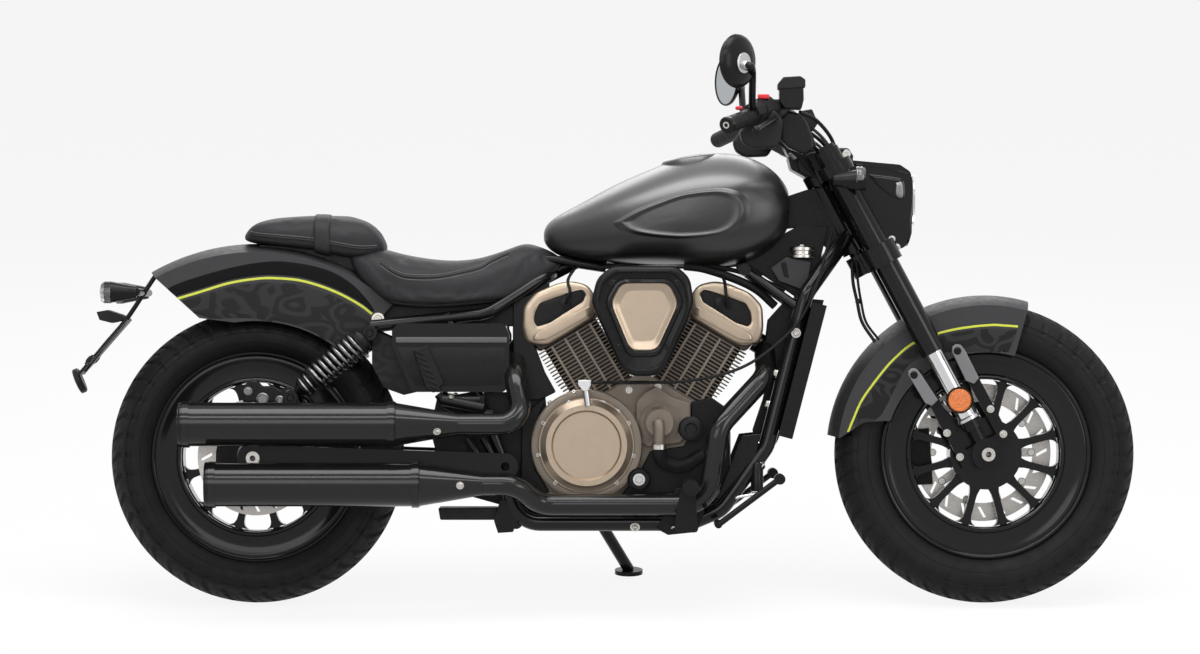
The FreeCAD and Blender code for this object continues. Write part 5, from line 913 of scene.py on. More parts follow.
# a thin black plate over the filler panel: painted shade standing for the slot's dark opening
plate("filler slot shade", [(781, 263), (786, 262), (789, 278), (784, 276)], -60.5, 2.4)
turned("radiator cap", [(27, -16), (27, -10), (24, -9), (24, -2), (27, -1), (27, 5), (24, 8), (11, 9),
    (10, 11), (0, 11)], at(802, 250, -48), Z, 20, "screw", bevel=0.6)
plate("hanger plate", [(676, 488), (702, 486), (704, 512), (697, 532), (668, 535), (657, 529)], -136, 7)
plate("rear engine plate", [(500, 500), (517, 500), (519, 519), (513, 532), (498, 533), (494, 521)], -128, 8,
    both=True)
plate("lower box", [(439, 507), (498, 507), (500, 519), (441, 519)], -60, 110, "black_plastic", bevel=3)
plate("front engine plate", [(742, 436), (760, 434), (754, 466), (738, 492), (722, 516), (712, 512)], -120, 7,
    both=True)
braces = Form().tube(route_px([(468, 438, -128), (491, 480, -128)]), 10, 16)
braces.tube(route_px([(483, 438, -128), (506, 482, -128)]), 8, 16)
piece("rear lower tubes", braces.mirrored(), "black_gloss")
plate("folded peg", [(413, 350), (428, 345), (444, 384), (434, 393), (426, 389)], -155, 20, "black_rubber",
    bevel=3, both=True)
ribs = Form()
slant = Matrix.Rotation(math.radians(22), 3, "Y")
for i in range(7):
    ribs.box(at(418.5 + i * 2.7, 352 + i * 6, -165.5), (24, 3, 4.5), slant)
piece("peg ribs", ribs.mirrored(), "black_rubber", bevel=1)
hose("peg arm", [[(438, 394, -150), (448, 406, -150), (468, 413, -142), (492, 415, -132)]], 9, 14,
    "black_satin", both=True)
bolts("peg bolts", ("passenger_pegs", "side_cover_right"), [(437, 393), (451, 397)], 5, 5, both=True)
turned("rear brake master", [(10, -30), (13, -28), (13, 26), (10, 30), (6, 30), (6, 38)], at(757, 477, -118),
    Z, 24, bevel=0.8)
turned("rear brake master nut", [(8, -4), (9, -3), (9, 3), (8, 4)], at(756, 494, -118), Z, 6, "screw")
hose("rear brake rod", [[(756, 494, -122), (735, 498, -126), (722, 507, -128), (708, 517, -130)]], 3.2, 8,
    "silver")

# engine

arm = Form().tube(route_px([(584, 380, -150), (586, 392, -152), (588, 406, -150)]), 6.5, 10)
piece("clutch arm", arm, "silver", bevel=0.8)
plate("clutch arm end", [(578, 380), (591, 380), (591, 385), (588, 391), (583, 391), (578, 385)], -158, 8,
    "silver")
CABLE = [(590, 383, -152), (615, 382, -165), (643, 382.5, -172), (687, 381, -165), (733, 371, -140),
    (767, 352, -122), (800, 320, -112), (817, 283, -104), (826, 252, -84), (832, 232, -66)]
hose("clutch cable", [CABLE], 3.2, 8)
boot = Form()
for i in range(22):
    boot.lathe([(3.4, -1.6), (4.8, -0.6), (4.8, 0.6), (3.4, 1.6)], at(604 + i * 2.1, 382.5, -161 - i * 0.45),
        X, 12)
piece("clutch cable boot", boot, "black_rubber")
hose("pump outlet", [[(658, 421, -146), (659, 428, -149), (659, 441, -147), (659, 447, -143)]], 12, 16,
    "taupe_cast")
hose("pump hose", [[(659, 444, -144), (659, 453, -139), (664, 462, -122), (682, 466, -104), (702, 455, -84)]],
    14, 16)
turned("hose clamp", [(15.4, -5), (15.4, 5)], at(659, 447, -142), Z, 24, "screw")
turned("sump boss", [(24, -20), (24, 10), (20, 14), (14, 14), (12, 8), (6, 8)], at(639, 479.5, -118), -Y, 40,
    bevel=0.6)
piece("sump boss bolt", Form().bolt(at(639, 479.5, -126), -Y, 8.5, 8), "silver")
turned("coolant pump wheel", [(26, -26), (26, 6), (22, 9), (12, 9), (11, 5)], at(691, 429, -112), -Y, 36,
    "black_plastic", bevel=0.8)
plugs = Form()
for px, py in ((566, 302), (728, 306)):
    spot, _ = seen(("rear_cylinder", "front_cylinder"), px, py)
    plugs.lathe([(8, 0), (8, 7), (5, 12), (5, 16)], spot, -Y, 20)
piece("plug caps", plugs, "black_rubber")
hose("plug leads", [[(566, 302, -90), (570, 292, -104), (568, 280, -80), (575, 268, -40)],
    [(728, 306, -90), (726, 294, -104), (724, 280, -80), (716, 268, -40)]], 3.4, 8)
CRANK = Vector((89, 0, 312))
left = Form()
for i in range(10):
    left.bolt(CRANK + wheel_way(math.radians(i * 36 + 10)) * 97 + Y * 108, Y, 4.6, 5, 18)
piece("left cover screws", left, "screw")

# exhausts


def muffler_rings(name, ends, profile, shifts=(0,)):
    """Raised rings round both mufflers, at (pixel x, height) places."""
    form = Form()
    for px, z in ends:
        for shift in shifts:
            ring = [(r, shift + h) for r, h in profile]
            form.lathe(ring, Vector((at(px, 0, -206).x, -206, z)), X, 64, caps=False)
    piece(name, form, "black_gloss")


muffler_rings("muffler bands", ((393, 378), (417, 254)),
    [(45.2, -2.4), (46.6, -1.2), (46.6, 1.2), (45.2, 2.4)], (-6, 4))
bolts("muffler bolts", ("upper_muffler", "lower_muffler"), [(437, 431.5), (460, 485.5)], 5.5, 5)
muffler_rings("muffler end rings", ((179, 378), (205, 254)), [(45.5, 0), (46.8, 2), (46.8, 9), (45.5, 11)])

# shocks with real springs


def shock(name, side, node):
    top, low = Vector((-476, side, 566)), Vector((-640, side, 432))
    along = (low - top).normalized()
    length = (low - top).length
    seat = length * 0.69
    form = Form()
    for eye in (top, low):
        form.lathe([(7.2, -12), (15, -12), (16, -10), (16, 10), (15, 12), (7.2, 12)], eye, Y, 28, loop=True)
    form.lathe([(9, 0), (17, 4), (24, 8), (26, 12), (26, 18), (31, 20), (31, 24), (14, 25)], top + along * 8,
        along, 32)
    form.lathe([(12, 0), (12, 114), (8, 120)], top + along * 30, along, 28)
    form.lathe([(31, 0), (31, 5), (24, 8), (21, 12), (21, 34), (15, 40), (10, 48)], top + along * seat, along,
        32)
    piece(name, form, hides=(node,), bevel=0.6)
    across = along.orthogonal().normalized()
    other = along.cross(across)
    coils, facets, coil_radius, wire = 8.5, 28, 26, 4.3
    start, end = top + along * 35, top + along * seat
    spring = []
    for i in range(int(coils * facets) + 1):
        turn = 2 * math.pi * i / facets
        round_axis = across * (math.cos(turn) * coil_radius) + other * (math.sin(turn) * coil_radius)
        spring.append(start.lerp(end, i / (coils * facets)) + round_axis)
    piece(name + " spring", Form().tube(spring, wire, 10), "spring")
    rings = Form()
    for share in (0.7, 0.76, 0.82):
        ring = [(21.4, -1.6), (23, -1), (23, 1), (21.4, 1.6)]
        rings.lathe(ring, top + along * (length * share), along, 32, caps=False)
    piece(name + " rings", rings, "silver")


shock("shock right detail", -155, "shock_right")
shock("shock left detail", 155, "shock_left")

# fork, headlamp and bars

FORK_SIDE = 107
tubes, collars, tops = Form(), Form(), Form()
for side in (-FORK_SIDE, FORK_SIDE):
    tubes.lathe([(19.35, 0), (19.35, 154)], on_fork(86, 0, side), FORK_UP, 40, caps=False)
    collars.lathe([(19.5, 0), (23.5, 1), (23.5, 7), (21, 10), (19.5, 10)], on_fork(80, 0, side), FORK_UP, 40)
    tops.lathe([(17, 0), (17, 4), (15, 6), (9, 6), (8, 2)], on_fork(693.5, 0, side), FORK_UP, 36)
tops.lathe([(18, 0), (18, 9), (15, 12), (8, 12), (7, 6)], on_fork(685, -40, 0), FORK_UP, 6)
piece("chrome tubes", tubes, "chrome_look", STEERING)
piece("fork collars", collars, "silver", STEERING)
piece("fork top caps", tops, "silver", STEERING, bevel=0.6)
amber, ring = Form(), Form()
for sign in (-1, 1):
    face, _ = met("fork_lowers", on_fork(128, 0, sign * FORK_SIDE) + Y * (sign * 200), Y * -sign)
    amber.lathe([(24.5, -1), (24.5, 2.4), (22.5, 4.2), (0, 4.6)], face, Y * sign, 48)
    ring.lathe([(24.6, -1), (24.6, 4.4), (27, 4.6), (28, 3), (28, -1)], face, Y * sign, 48, loop=True)
# the amber lenses carry painted glints and painted shade on their prisms
piece("amber reflectors", amber, "amber", STEERING)
piece("reflector rings", ring, body=STEERING)
brake_hose = Form()
for route, radius in (
    ([(852, 262, -40), (853, 282, -44), (857, 301, -46), (862, 322, -50), (875, 342, -58)], 3.6),
    ([(857, 262, -34), (858, 282, -38), (861, 301, -41), (866, 322, -46), (879, 340, -55)], 2.8),
):
    brake_hose.tube(smooth(route_px(route)), radius, 10)
piece("front brake hose", brake_hose, "black_rubber", STEERING)
turned("hose joint", [(6.5, -5), (6.5, 5)], at(858.5, 301, -44), (0.2, 0, 1), 6, body=STEERING)
wires = Form()
for route in (
    [(772, 118, -240), (792, 124, -190), (812, 134, -120), (828, 150, -70), (838, 176, -40)],
    [(768, 122, -246), (786, 134, -196), (806, 142, -130), (824, 158, -78), (832, 190, -44)],
    [(800, 112, -225), (816, 120, -170), (832, 140, -110), (838, 165, -60), (842, 200, -36)],
):
    for sign, radius in ((-1, 4.0), (1, 3.6)):
        wires.tube(smooth([sided(p, sign) for p in route_px(route)]), radius, 10)
piece("bar cables", wires, "black_rubber", STEERING)
SUNK = [(1.0, -0.3), (0.96, 0.8), (0.5, 0.8), (0.0, 0.8)]
RAISED = [(1.0, 1.0), (0.94, 1.8), (0.5, 2.0), (0.0, 2.0)]
NOTCH = [(868, 174), (893, 177), (904, 181), (904, 199), (893, 197), (878, 186)]
relief("lamp notch", "headlight_shell", NOTCH, SUNK, "black_gloss", STEERING)
relief("lamp light block", "headlight_shell", [(896, 183), (902, 183), (902.5, 197), (896, 195)], RAISED,
    "silver_dark", STEERING)
LAMP_CREASE = [(852, 163), (880, 163.5), (906, 172), (904, 174.5), (880, 167), (854, 166)]
relief("lamp crease", "headlight_shell", LAMP_CREASE, SUNK, "black_gloss", STEERING)
bolts("lamp bolts", "headlight_shell", [(892, 239), (897, 247)], 5, 4, STEERING)
turned("front signal lenses", [(22.8, -2), (22.8, 12), (19, 17), (10, 19), (0, 19.5)], at(857, 177.5, -158),
    X, 36, "lamp_white", STEERING, both=True)
turned("rear signal lenses", [(22.4, -2), (22.4, 12), (18, 18), (10, 20), (0, 20.5)], at(110, 292.5, -140),
    -X, 36, "lamp_white", both=True)


MIRROR_PLACES = ((738, 61, -412), (752.5, 72, -392), (752, 112, -300))
MIRROR_SHELL = [(0, -15), (26, -14), (44, -10), (53, -3), (55, 2), (54, 5), (51.5, 5), (51.5, 3)]
for sign, name, facing, hides in ((-1, "right", (-0.76, 0.65, 0.02), ("mirrors",)),
                                  (1, "left", (-0.9, -0.42, 0.02), ())):
    head, knee, low = [sided(at(*place), sign) for place in MIRROR_PLACES]
    facing = Vector(facing).normalized()
    turned("mirror shell " + name, MIRROR_SHELL, head, facing, 64, body=STEERING, hides=hides)
    turned("mirror glass " + name, [(51.6, 2.0), (51.0, 3.6), (0, 3.8)], head, facing, 64, "mirror_glass",
        STEERING)
    disc = Form().lathe([(21, -12), (21, -16.5), (17, -18), (0, -18.4)], head - Z * 4, facing, 40)
    disc.lathe([(9, -18), (9, -24), (6, -27), (0, -28)], head - Z * 8, facing, 24)
    piece("mirror disc " + name, disc, "silver", STEERING, bevel=0.6)
    stem = [head - facing * 22 - Z * 8, head - facing * 34 - Z * 12, knee, knee.lerp(low, 0.5), low - Z * 6]
    piece("mirror stem " + name, Form().tube(smooth(stem), 7.4, 14), body=STEERING)

# wheel trim

# (radius, height) over the rim's face: the dished flange with its lip and its step
DISH = [(156.5, -1), (157, 5), (160, 6.5), (163.5, 5.5), (167, 1.2), (180, 0.7), (198, 0.9), (203, 3.2),
    (207, 3.6), (210, 2.8), (212, 5.6), (215.5, 6.8), (218.6, 5.4), (219.4, -1)]
WHEELS = (("front", FRONT_AXLE, FRONT_WHEEL), ("rear", REAR_AXLE, REAR_WHEEL))
for end, centre, body in WHEELS:
    form = Form()
    for sign in (-1, 1):
        face, _ = met(end + "_rim", centre + wheel_way(0.26) * 190 + Y * (sign * 300), Y * -sign)
        form.lathe([(r, abs(face.y) + h) for r, h in DISH], centre, Y * sign, 120, caps=False)
    piece(end + " rim dish", form, "black_gloss", body)
STAYS = (
    [(908, 375), (908, 371), (912, 368), (917, 369), (921, 374), (938, 400), (932, 406), (925, 403)],
    [(952, 352), (952, 347), (956, 344), (961, 345), (965, 350), (979, 378), (974, 384), (966, 381)],
)
stays = Form()
for pixels in STAYS:
    stays.prism(outline_at(pixels, -128), Y * 3)
piece("fender stays", stays.mirrored(), "silver_dark", STEERING, bevel=1.5)
bolts("stay bolts", "fork_lowers", [(947, 433), (960, 457), (990.6, 409), (1003.4, 434)], 5.5, 5, STEERING,
    both=True)
heads = Form()
for px, py in ((914, 375), (957.5, 351)):
    heads.bolt(at(px, py, -131), -Y, 5.5, 5, 18)
piece("stay head bolts", heads.mirrored(), body=STEERING)
for end, centre, body in WHEELS:
    low, high = node_box(end + "_disc")
    buttons = Form()
    radius = (high.z - low.z) / 2 - 41
    for i in range(10):
        spot = centre + wheel_way(2 * math.pi * i / 10) * radius
        spot.y = (low.y + high.y) / 2
        buttons.lathe([(7, -4.4), (8, -3.6), (8, 3.6), (7, 4.4)], spot, Y, 20)
    piece(end + " disc buttons", buttons, "screw", body)

# cylinders with fine fins

CYLINDER_ANGLE = math.radians(31)


def on_cylinder(sign, along, across=0.0, side=0.0):
    """A place on the front (1) or rear (-1) cylinder, along its bore and across it."""
    turn = CYLINDER_ANGLE * sign
    up = Vector((math.sin(turn), 0, math.cos(turn)))
    over = Vector((math.cos(turn), 0, -math.sin(turn)))
    return CRANK + up * along + over * across + Y * side


def rounded(points, radius, steps=5):
    """A polygon with its corners eased by a radius."""
    ring = []
    for i, corner in enumerate(points):
        corner = Vector(corner)
        before, after = Vector(points[i - 1]), Vector(points[(i + 1) % len(points)])
        a = corner + (before - corner).normalized() * radius
        b = corner + (after - corner).normalized() * radius
        for k in range(steps + 1):
            t = k / steps
            ring.append(a * (1 - t) ** 2 + corner * (2 * t * (1 - t)) + b * t * t)
    return ring


def tiers(pixels, radius, levels):
    """Rings of one rounded outline, each at its own scale and depth."""
    ring = rounded(pixels, radius)
    middle = middle_of(ring)
    spread = [p - middle for p in ring]
    return Form().rings([[at(*(middle + p * scale), depth) for p in spread] for scale, depth in levels])


FINS, FIN_PITCH = 19, 7.7
FIN_EDGE = ((-1.4, 0.985), (-0.8, 1), (0.8, 1), (1.4, 0.985))
HEAD_EDGE = ((0.96, -75), (1, -70), (1, 70), (0.96, 75))
COVER_EDGE = ((1.03, 72), (1.05, 78), (1.03, 86), (0.96, 90), (0.7, 90), (0.66, 84), (0.3, 84))
HEAD = [(-74, 296), (-79, 330), (-66, 366), (-38, 384), (38, 384), (66, 366), (79, 330), (74, 296)]
for sign, name in ((1, "front"), (-1, "rear")):
    block = rounded([(63, 66), (-63, 66), (-63, -66), (63, -66)], 22)
    barrel = Form().rings([[on_cylinder(sign, along, p.x, p.y) for p in block] for along in (128, 300)])
    # the barrel between the fins takes the darkened taupe: painted shade
    piece(name + " cylinder barrel", barrel, "taupe_dark", hides=(name + "_cylinder",))
    fins = Form()
    for i in range(FINS):
        along = 152 + i * FIN_PITCH
        wide = 66 + min(i, 8) * 1.5
        ring = rounded([(wide, 74), (-wide, 74), (-wide, -74), (wide, -74)], 18, 4)
        fins.rings([[on_cylinder(sign, along + rise, p.x * share, p.y * share) for p in ring]
                    for rise, share in FIN_EDGE])
    for across in (-46, -14, 14, 46):
        for side in (-73.5, 73.5):
            web = on_cylinder(sign, 222, across, side)
            fins.box(web, (5, 5, 140), Matrix.Rotation(CYLINDER_ANGLE * sign, 3, "Y"))
    piece(name + " cylinder fins", fins, "taupe_cast")
    head = rounded(HEAD, 10)
    top = Form().rings([[on_cylinder(sign, p.y, p.x * share, side) for p in head]
                        for share, side in HEAD_EDGE])
    # the head behind the cover takes the darkened taupe: painted shade
    piece(name + " cylinder head", top, "taupe_dark")
    cover = Form().rings([[on_cylinder(sign, 340 + (p.y - 340) * share, p.x * share, side) for p in head]
                          for share, side in COVER_EDGE])
    piece(name + " cylinder head cover left", cover, "champagne")

# air cleaner

BODY = [(612, 266), (677, 266), (690, 278), (694, 302), (690, 316), (667, 366), (656, 376), (630, 376),
    (620, 366), (597, 316), (591, 302), (597, 278)]
WINDOW = [(621, 283), (669, 283), (679, 303), (657, 351), (630, 351), (610, 303)]
CASE = [(0.86, -96), (0.9, -150), (0.97, -178), (1.0, -194), (1.0, -204), (0.985, -211), (0.95, -215),
    (0.9, -216), (0.875, -214.5), (0.865, -211), (0.85, -210.5), (0.3, -210.5)]
COLLAR = [(1.16, -206), (1.15, -213), (1.12, -216), (1.04, -217.5), (1.0, -216.5), (0.98, -213)]
INLET = [(1.0, -214), (0.995, -218), (0.965, -220.5), (0.93, -220), (0.88, -217.6), (0.8, -215),
    (0.66, -212.6), (0.5, -211.2), (0.3, -210.4), (0.02, -210)]
piece("air cleaner case", tiers(BODY, 7, CASE), hides=("air_cleaner", "air_cleaner_inset"))
piece("air cleaner collar", tiers(WINDOW, 7, COLLAR), "black_gloss")
piece("air cleaner inlet", tiers(WINDOW, 8, INLET), "champagne")
screws = Form()
for px, py in ((613, 283), (677, 283), (668, 347), (619, 347)):
    screws.bolt(at(px, py, -210), -Y, 5.4, 5, 18)
piece("air cleaner screws", screws, "black_gloss")
plate("pump plate", [(636, 402), (645, 392), (656, 386), (672, 397), (690, 403), (691, 430), (680, 443),
    (648, 447), (635, 440)], -88, 14, "taupe_cast", bevel=3)
plate("sump shadow", [(650, 451), (684, 446), (691, 430), (691, 402), (711, 397), (727, 408), (731, 476),
    (722, 491), (640, 495), (618, 498), (632, 482), (644, 464)], -80, 10, bevel=3)
plate("clutch shadow", [(522, 414), (546, 398), (537, 422), (531, 445), (536, 470), (550, 492), (530, 498),
    (520, 494)], -80, 10, bevel=3)
plate("seat subframe", [(380, 318), (392, 302), (440, 302), (500, 300), (530, 289), (549, 282), (549, 300),
    (540, 326), (400, 328)], -60, 8, bevel=2, both=True)
plate("tank bracket", [(733, 257), (760, 240), (778, 262), (762, 276), (738, 272)], -20, 8, bevel=2,
    both=True)
turned("rear disc carrier", [(30, -3), (84, -3), (85, 0), (84, 3.5), (70, 4.5), (40, 5)], REAR_AXLE - Y * 60,
    -Y, 80, body=REAR_WHEEL, caps=False)
CLUTCH = Vector((-28, 0, 333))
face, _ = met("clutch_cover", CLUTCH + X * 107 - Y * 300, Y)
turned("clutch flange", [(98.5, -1), (99, 2.4), (100.5, 3), (111, 3), (114, 2), (115.4, -3)],
    CLUTCH + Y * face.y, -Y, 96, "taupe_cast", caps=False)

# dark parts seen between the big ones

plate("pivot bracket", [(437, 398), (470, 392), (545, 392), (549, 430), (545, 470), (541, 502), (505, 506),
    (462, 494), (441, 470), (430, 430)], -64, 8, bevel=2)
plate("battery side", [(513, 300), (545, 290), (537, 318), (533, 340), (545, 372), (556, 392), (540, 400),
    (513, 400)], -50, 60, bevel=3)
plate("radiator shroud", [(768, 320), (786, 300), (800, 298), (824, 300), (816, 330), (800, 380), (778, 440),
    (770, 454), (757, 454), (753, 430), (763, 400), (770, 370), (765, 345)], -24, 4, bevel=1, both=True)
plate("pillion base", [(262, 245), (300, 247), (345, 254), (366, 257), (358, 272), (330, 264), (285, 256),
    (262, 251)], 0, 120, "black_plastic", bevel=2)
hose("tank underside tube", [[(516, 262, -44), (548, 259, -44), (580, 264, -44), (606, 268, -44)]], 9, 14,
    "black_satin", both=True)
hose("neck hose", [[(684, 266, -62), (705, 269, -62), (735, 279, -58), (757, 290, -52), (775, 306, -44)]], 9,
    14)
hose("loom", [[(598, 268, -50), (640, 263, -56), (690, 264, -56), (740, 272, -50), (785, 290, -40)]], 5)

# rear caliper, plate holder and reflector

plate("rear caliper block", [(243, 402), (244, 386), (250, 380), (258, 381), (262, 386), (274, 386),
    (281, 390), (288, 386), (296, 390), (297, 402)], -76, 38, bevel=3)
bores = Form()
for px, py, r in ((262.8, 399, 13), (280, 400, 9)):
    bores.lathe([(r, 0), (r, 4), (r - 2.5, 5), (r - 4, 3), (0, 3)], at(px, py, -95), -Y, 28)
for px, py in ((248, 391), (289, 394)):
    bores.bolt(at(px, py, -95), -Y, 6, 5, 18)
piece("rear caliper bores", bores, "silver_dark", hides=("rear_caliper",))
holder = Form()
for side in (-26, 26):
    holder.tube(smooth(route_px([(158, 272, side), (146, 290, side), (126, 320, side), (104, 346, side),
        (84, 371, side)])), 5, 12)
holder.prism(outline_at([(128, 318), (130, 320), (82, 375), (80, 373)], 0), Y * 52)
holder.prism(outline_at([(98, 312), (109, 310), (124, 315), (126, 320), (113, 323), (101, 320)], 0), Y * 34)
slope = (at(84, 371) - at(126, 320)).normalized()
outward = Vector((slope.z, 0, -slope.x))
mount = at(93.5, 360)
holder.prism([mount + slope * a + outward * b for a, b in ((-12, -1), (12, -1), (12, 4), (-12, 4))], Y * 86)
for side in (-75, 75):
    eyelet = [(3.6, -3), (7, -3), (8, -1), (8, 5), (7, 6.5), (3.6, 6.5)]
    holder.lathe(eyelet, mount + Y * side, outward, 24, loop=True)
piece("plate holder bar", holder, "black_plastic", hides=("plate_holder",), bevel=1)
back = (at(70, 372) - at(84, 366)).normalized()
spot = at(79, 381)
turned("reflector cup", [(24, -9), (27, -6), (27, 3), (25, 5), (24, 5), (24, 2)], spot, back, 40,
    "black_plastic")
# the red lens carries painted glints and painted shade on its prisms
turned("rear reflector", [(24, 1), (23.6, 5), (18, 7), (0, 7.6)], spot, back, 40, "red")

# spoke ends, headlamp front, clamp and bar fittings

RIM_WEB = [(130, 7.4), (140, 8.6), (146, 11), (150, 15), (153, 21)]
HUB_WEB = [(70, 15), (78, 10.5), (88, 8.2), (100, 7.4)]
for end, centre, body in WHEELS:
    webs = Form()
    for i in range(12):
        turn = math.radians(15 + 30 * i)
        out, over = wheel_way(turn), wheel_way(turn + math.pi / 2)
        for half, depth in ((RIM_WEB, 15.5), (HUB_WEB, 16)):
            ring = [centre + out * r + over * w for r, w in half + [(r, -w) for r, w in reversed(half)]]
            webs.prism(ring, Y * depth)
    piece(end + " spoke webs", webs, "black_gloss", body, bevel=1.2)
low, high = node_box("headlight_lens")
edge = rounded([(74, 898), (-74, 898), (-72, 760), (-50, 747), (50, 747), (72, 760)], 12, 6)
MASK_X, MASK_Z, BULGE, BULGE_Z = 650, 832, 0.0016, 835
rings = []
for ahead, share in ((-8, 1.0), (2, 1.0), (5.5, 0.98), (7, 0.94), (6, 0.9), (2, 0.88), (2, 0.3)):
    rings.append([Vector((MASK_X + ahead - BULGE * (p.y - BULGE_Z) ** 2, p.x * share,
                          MASK_Z + (p.y - MASK_Z) * share)) for p in edge])
mask = Form().rings(rings)
piece("lamp mask", mask, "black_gloss", STEERING)
turned("lamp bowl", [(51, 0.2), (46, 2.6), (36, 1.4), (25, 1.0), (21, 3.4), (16, 4.4), (0, 4.8)],
    Vector((low.x, 0, (low.z + high.z) / 2)), X, 64, "silver", STEERING)
plate("clamp rear", [(787, 158), (792, 152), (812, 149), (824, 157), (820, 176), (806, 179), (790, 170)], 0,
    120, body=STEERING, bevel=4)
plate("bar riser", [(782, 126), (790, 120), (806, 118), (816, 148), (812, 158), (788, 158), (780, 142)], 0,
    96, body=STEERING, bevel=5)
plate("dash pod", [(799, 112), (811, 110), (817, 124), (812, 132), (800, 130)], 0, 110, "black_plastic",
    STEERING, bevel=3)
plate("reservoir cup", [(779, 88), (781, 83), (803, 82), (803.5, 100), (801, 110), (784, 109), (779, 103)],
    -232, 46, body=STEERING, bevel=4)
plate("reservoir lid", [(777.5, 90), (777.5, 84), (783, 77.5), (800, 76.5), (805, 80), (805, 88)], -232, 52,
    "black_plastic", STEERING, bevel=2.5)
hose("reservoir foot", [[(788, 106, -236), (780, 114, -244), (768, 112, -258)]], 9, 14, "black_satin",
    STEERING, hides=("brake_reservoir",))
for name, ends, (wide, narrow) in (("switch pods", ((751, 113.5, -306), (768, 105, -256)), (20, 22)),
                                   ("lever mounts", ((770, 108, -252), (779, 106, -226)), (17, 15))):
    start, end = route_px(ends)
    along = end - start
    pod = [(15, 0), (wide, 2), (wide, along.length * 0.45), (wide - 1.2, along.length * 0.47),
        (narrow, along.length * 0.5), (narrow, along.length - 3), (14, along.length)]
    turned(name, pod, start, along, 32, "black_plastic", STEERING, both=True)
plate("pod lower", [(739, 133), (748, 119), (760, 112), (775, 110), (783, 120), (781, 140), (776, 148),
    (752, 149), (742, 143)], -264, 34, "black_plastic", STEERING, bevel=6, both=True)
plate("master body", [(779, 119), (787, 111), (800, 114), (806, 122), (813, 138), (812, 150), (804, 155),
    (788, 148), (780, 140)], -212, 46, body=STEERING, bevel=6, both=True)
plate("upper clamp", [(797, 166), (799, 157), (810, 152), (835, 148), (848, 148), (853, 156), (852, 166),
    (838, 176), (812, 178), (800, 174)], -58, 34, body=STEERING, bevel=5, both=True)
fittings = Form()
for px, py, r, tall in ((795, 155, 12, 9), (826, 150.5, 15, 7)):
    cap = [(r - 1, -8), (r, -6), (r, tall - 2), (r - 2, tall), (r - 6, tall), (r - 7, tall - 2),
        (0, tall - 2)]
    fittings.lathe(cap, at(px, py, -58), FORK_UP, 28)
piece("clamp fittings", fittings, "silver_dark", STEERING)
turned("clamp bolt", [(4, 0), (4, 3), (8.5, 3), (9, 2), (9, -4)], at(846.5, 154, -77), -Y, 24, "screw",
    STEERING)
reds = Form().box(at(763.5, 96.5, -284), (24, 14, 10)).box(at(739, 108, -350), (15, 12, 8))
piece("stop switches", reds, "red_switch", STEERING, bevel=3)
LOOM = [[(766, 124 + 3 * k, -262 + 6 * k), (780, 137 + 3 * k, -180), (798, 150 + 3 * k, -110),
         (815, 168 + 4 * k, -60 - 8 * k)] for k in range(3)]
hose("bar loom", LOOM, 4.2, body=STEERING, both=True)
end = at(728.5, 124, -415)
aim = end - at(757, 110, -285)
turned("bar ends", [(12, -2), (16, 0), (16.5, 8), (14, 11), (7, 11.5)], end, aim, 32, body=STEERING,
    both=True)
turned("bar end screws", [(7, 10), (7, 12.5), (4, 12.5), (3.5, 10.5), (0, 10.5)], end, aim, 24, "screw",
    STEERING, both=True)
plate("tank tray", [(560, 251), (740, 251), (736, 267), (700, 269), (612, 268), (575, 266)], 0, 60, bevel=2)
plate("neck side", [(785, 197), (806, 190), (821, 187), (838, 236), (830, 250), (801, 227), (785, 229)], -20,
    6, bevel=1.5, both=True)
CAP_TILT = math.radians(9.1)
# the filler dome takes the tank paint, with its painted highlight above and painted shade below
turned("filler dome", [(64, -16), (61.5, -5), (58, -1.2), (52, 0.4), (37, 1.4), (35, 0), (33, 0), (32, 2),
    (22, 3), (0, 3.4)], at(690, 157.2), (-math.sin(CAP_TILT), 0, math.cos(CAP_TILT)), 72, "tank_paint",
    hides=("fuel_cap",))

# head covers: the front one mirrors the rear one in the photograph's plane

MIRROR_PX = 1285.6
OUTER = [(522, 330), (523, 306), (535, 293), (558, 283), (572, 281), (588, 285), (596, 297), (594, 317),
    (562, 337), (545, 346), (526, 343)]
INNER = [(534, 322), (535, 312), (540, 303), (556, 297), (572, 292), (582, 289.5), (586, 294), (583, 302),
    (562, 315), (550, 323), (537, 327)]
BAR = [(534, 334), (562, 318), (590, 305), (592, 314), (562, 331), (545, 340), (532, 341)]
# (scale, share of the way from the outer to the inner outline, depth)
BLEND = [(0.97, 0, -72), (1, 0, -76), (1, 0, -84), (0.985, 0.04, -88), (0.96, 0.12, -90.4), (0.95, 0.45, -91),
    (0.97, 0.72, -90.6), (1, 0.93, -90.8), (1, 1.0, -89.6), (1, 1.0, -81), (0.3, 1.0, -81)]
for name, flip in (("rear", False), ("front", True)):
    outer, inner, bar = [[(MIRROR_PX - x if flip else x, y) for x, y in line] for line in (OUTER, INNER, BAR)]
    rim, well = rounded(outer, 6), rounded(inner, 2.4)
    centre = middle_of(well)
    rings = []
    for scale, blend, depth in BLEND:
        ring = [a.lerp(b, blend) - centre for a, b in zip(rim, well)]
        rings.append([at(*(centre + p * scale), depth) for p in ring])
    piece(name + " head cover plate", Form().rings(rings), "champagne", hides=(name + "_head_cover",))
    floor = tiers(inner, 2.4, ((1.01, -80), (1.01, -83), (0.9, -83.4), (0.5, -83.4)))
    floor.lathe([(11, 0), (11, 6), (8, 7)], at(MIRROR_PX - 566 if flip else 566, 303, -83), -Y, 24)
    piece(name + " head cover plate recess", floor)
    levels = ((1.0, -89), (0.98, -92.6), (0.93, -94.4), (0.8, -94.6), (0.3, -94.6))
    piece(name + " head cover plate bar", tiers(bar, 3, levels), "champagne")

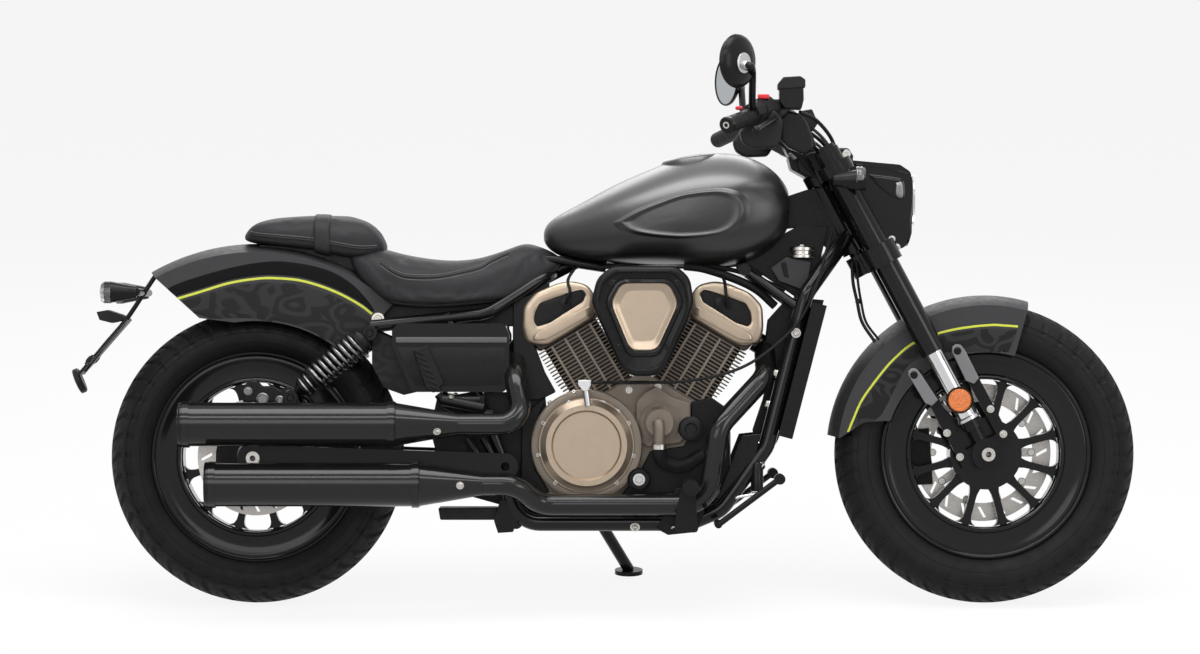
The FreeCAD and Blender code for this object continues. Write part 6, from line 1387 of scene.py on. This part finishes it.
# radiator core: slanted rows and upright tubes over the node's front

core = Form()
faces = [met("radiator", Vector((700, 0, 362 + i * 5.8)), -X)[0] for i in range(44)]
faces = [face for face in faces if face]
for face in faces:
    core.box(face + X * 1.2, (3.0, 216, 1.6), Matrix.Rotation(math.radians(19), 3, "Y"))
for side in range(-108, 109, 12):
    core.tube([Vector((p.x + 1.0, side, p.z)) for p in (faces[0], faces[-1])], 1.7, 6)
piece("radiator core", core, "silver_dark")


# studio


def shown_rays(tree):
    """1 for the rays that show the background: camera, glossy and transmission rays."""
    path = tree.nodes.new("ShaderNodeLightPath")
    total = path.outputs["Is Camera Ray"]
    for name in ("Is Glossy Ray", "Is Transmission Ray"):
        node = tree.nodes.new("ShaderNodeMath")
        node.operation = "MAXIMUM"
        tree.links.new(total, node.inputs[0])
        tree.links.new(path.outputs[name], node.inputs[1])
        total = node.outputs["Value"]
    return total


def studio_floor():
    """A matt floor that shows itself nearly white, 60 m to each side."""
    mesh = bpy.data.meshes.new("floor")
    corners = [(60 * x, 60 * y, 0) for x, y in ((-1, -1), (1, -1), (1, 1), (-1, 1))]
    mesh.from_pydata(corners, [], [(0, 1, 2, 3)])
    floor = bpy.data.objects.new("floor", mesh)
    bpy.context.scene.collection.objects.link(floor)
    n = Nodes("floor")
    n.set(Base_Color=(0.85, 0.85, 0.85, 1), Roughness=0.9, Specular_IOR_Level=0.0)
    glow = n.add("ShaderNodeEmission")
    mix = n.add("ShaderNodeMixShader", Fac=n.math("MULTIPLY", shown_rays(n.tree), 0.88))
    n.tree.links.new(n.shader.outputs["BSDF"], mix.inputs[1])
    n.tree.links.new(glow.outputs["Emission"], mix.inputs[2])
    n.tree.links.new(mix.outputs["Shader"], n.tree.nodes["Material Output"].inputs["Surface"])
    mesh.materials.append(n.material)


def studio_world():
    """White for the rays that show the background, dimmer as a light."""
    world = bpy.data.worlds.new("studio")
    bpy.context.scene.world = world
    world.use_nodes = True
    tree = world.node_tree
    back = tree.nodes["Background"]
    back.inputs["Color"].default_value = (1, 1, 1, 1)
    strength = tree.nodes.new("ShaderNodeMapRange")
    strength.inputs["To Min"].default_value = 0.3
    strength.inputs["To Max"].default_value = 1.0
    tree.links.new(shown_rays(tree), strength.inputs["Value"])
    tree.links.new(strength.outputs["Result"], back.inputs["Strength"])


def lamp(name, place, target, size, power):
    data = bpy.data.lights.new(name, "AREA")
    data.shape = "RECTANGLE"
    data.size, data.size_y = size
    data.energy = power
    thing = bpy.data.objects.new(name, data)
    bpy.context.scene.collection.objects.link(thing)
    thing.location = place
    thing.rotation_euler = (Vector(target) - Vector(place)).to_track_quat("-Z", "Y").to_euler()


studio_floor()
studio_world()
lamp("top", (0, -0.6, 3.4), (0, 0, 0.5), (3.6, 1.6), 115)
lamp("front", (3.2, -3.0, 1.8), (0.2, 0, 0.6), (1.6, 1.6), 35)
lamp("side", (-1.2, -4.5, 2.4), (0, 0, 0.5), (3.0, 1.4), 38)
lamp("edge", (0.1, -2.2, 2.7), (0, 0, 0.6), (3.4, 0.3), 28)
lamp("back", (0, 3.5, 2.5), (0, 0, 0.6), (3.0, 1.2), 40)
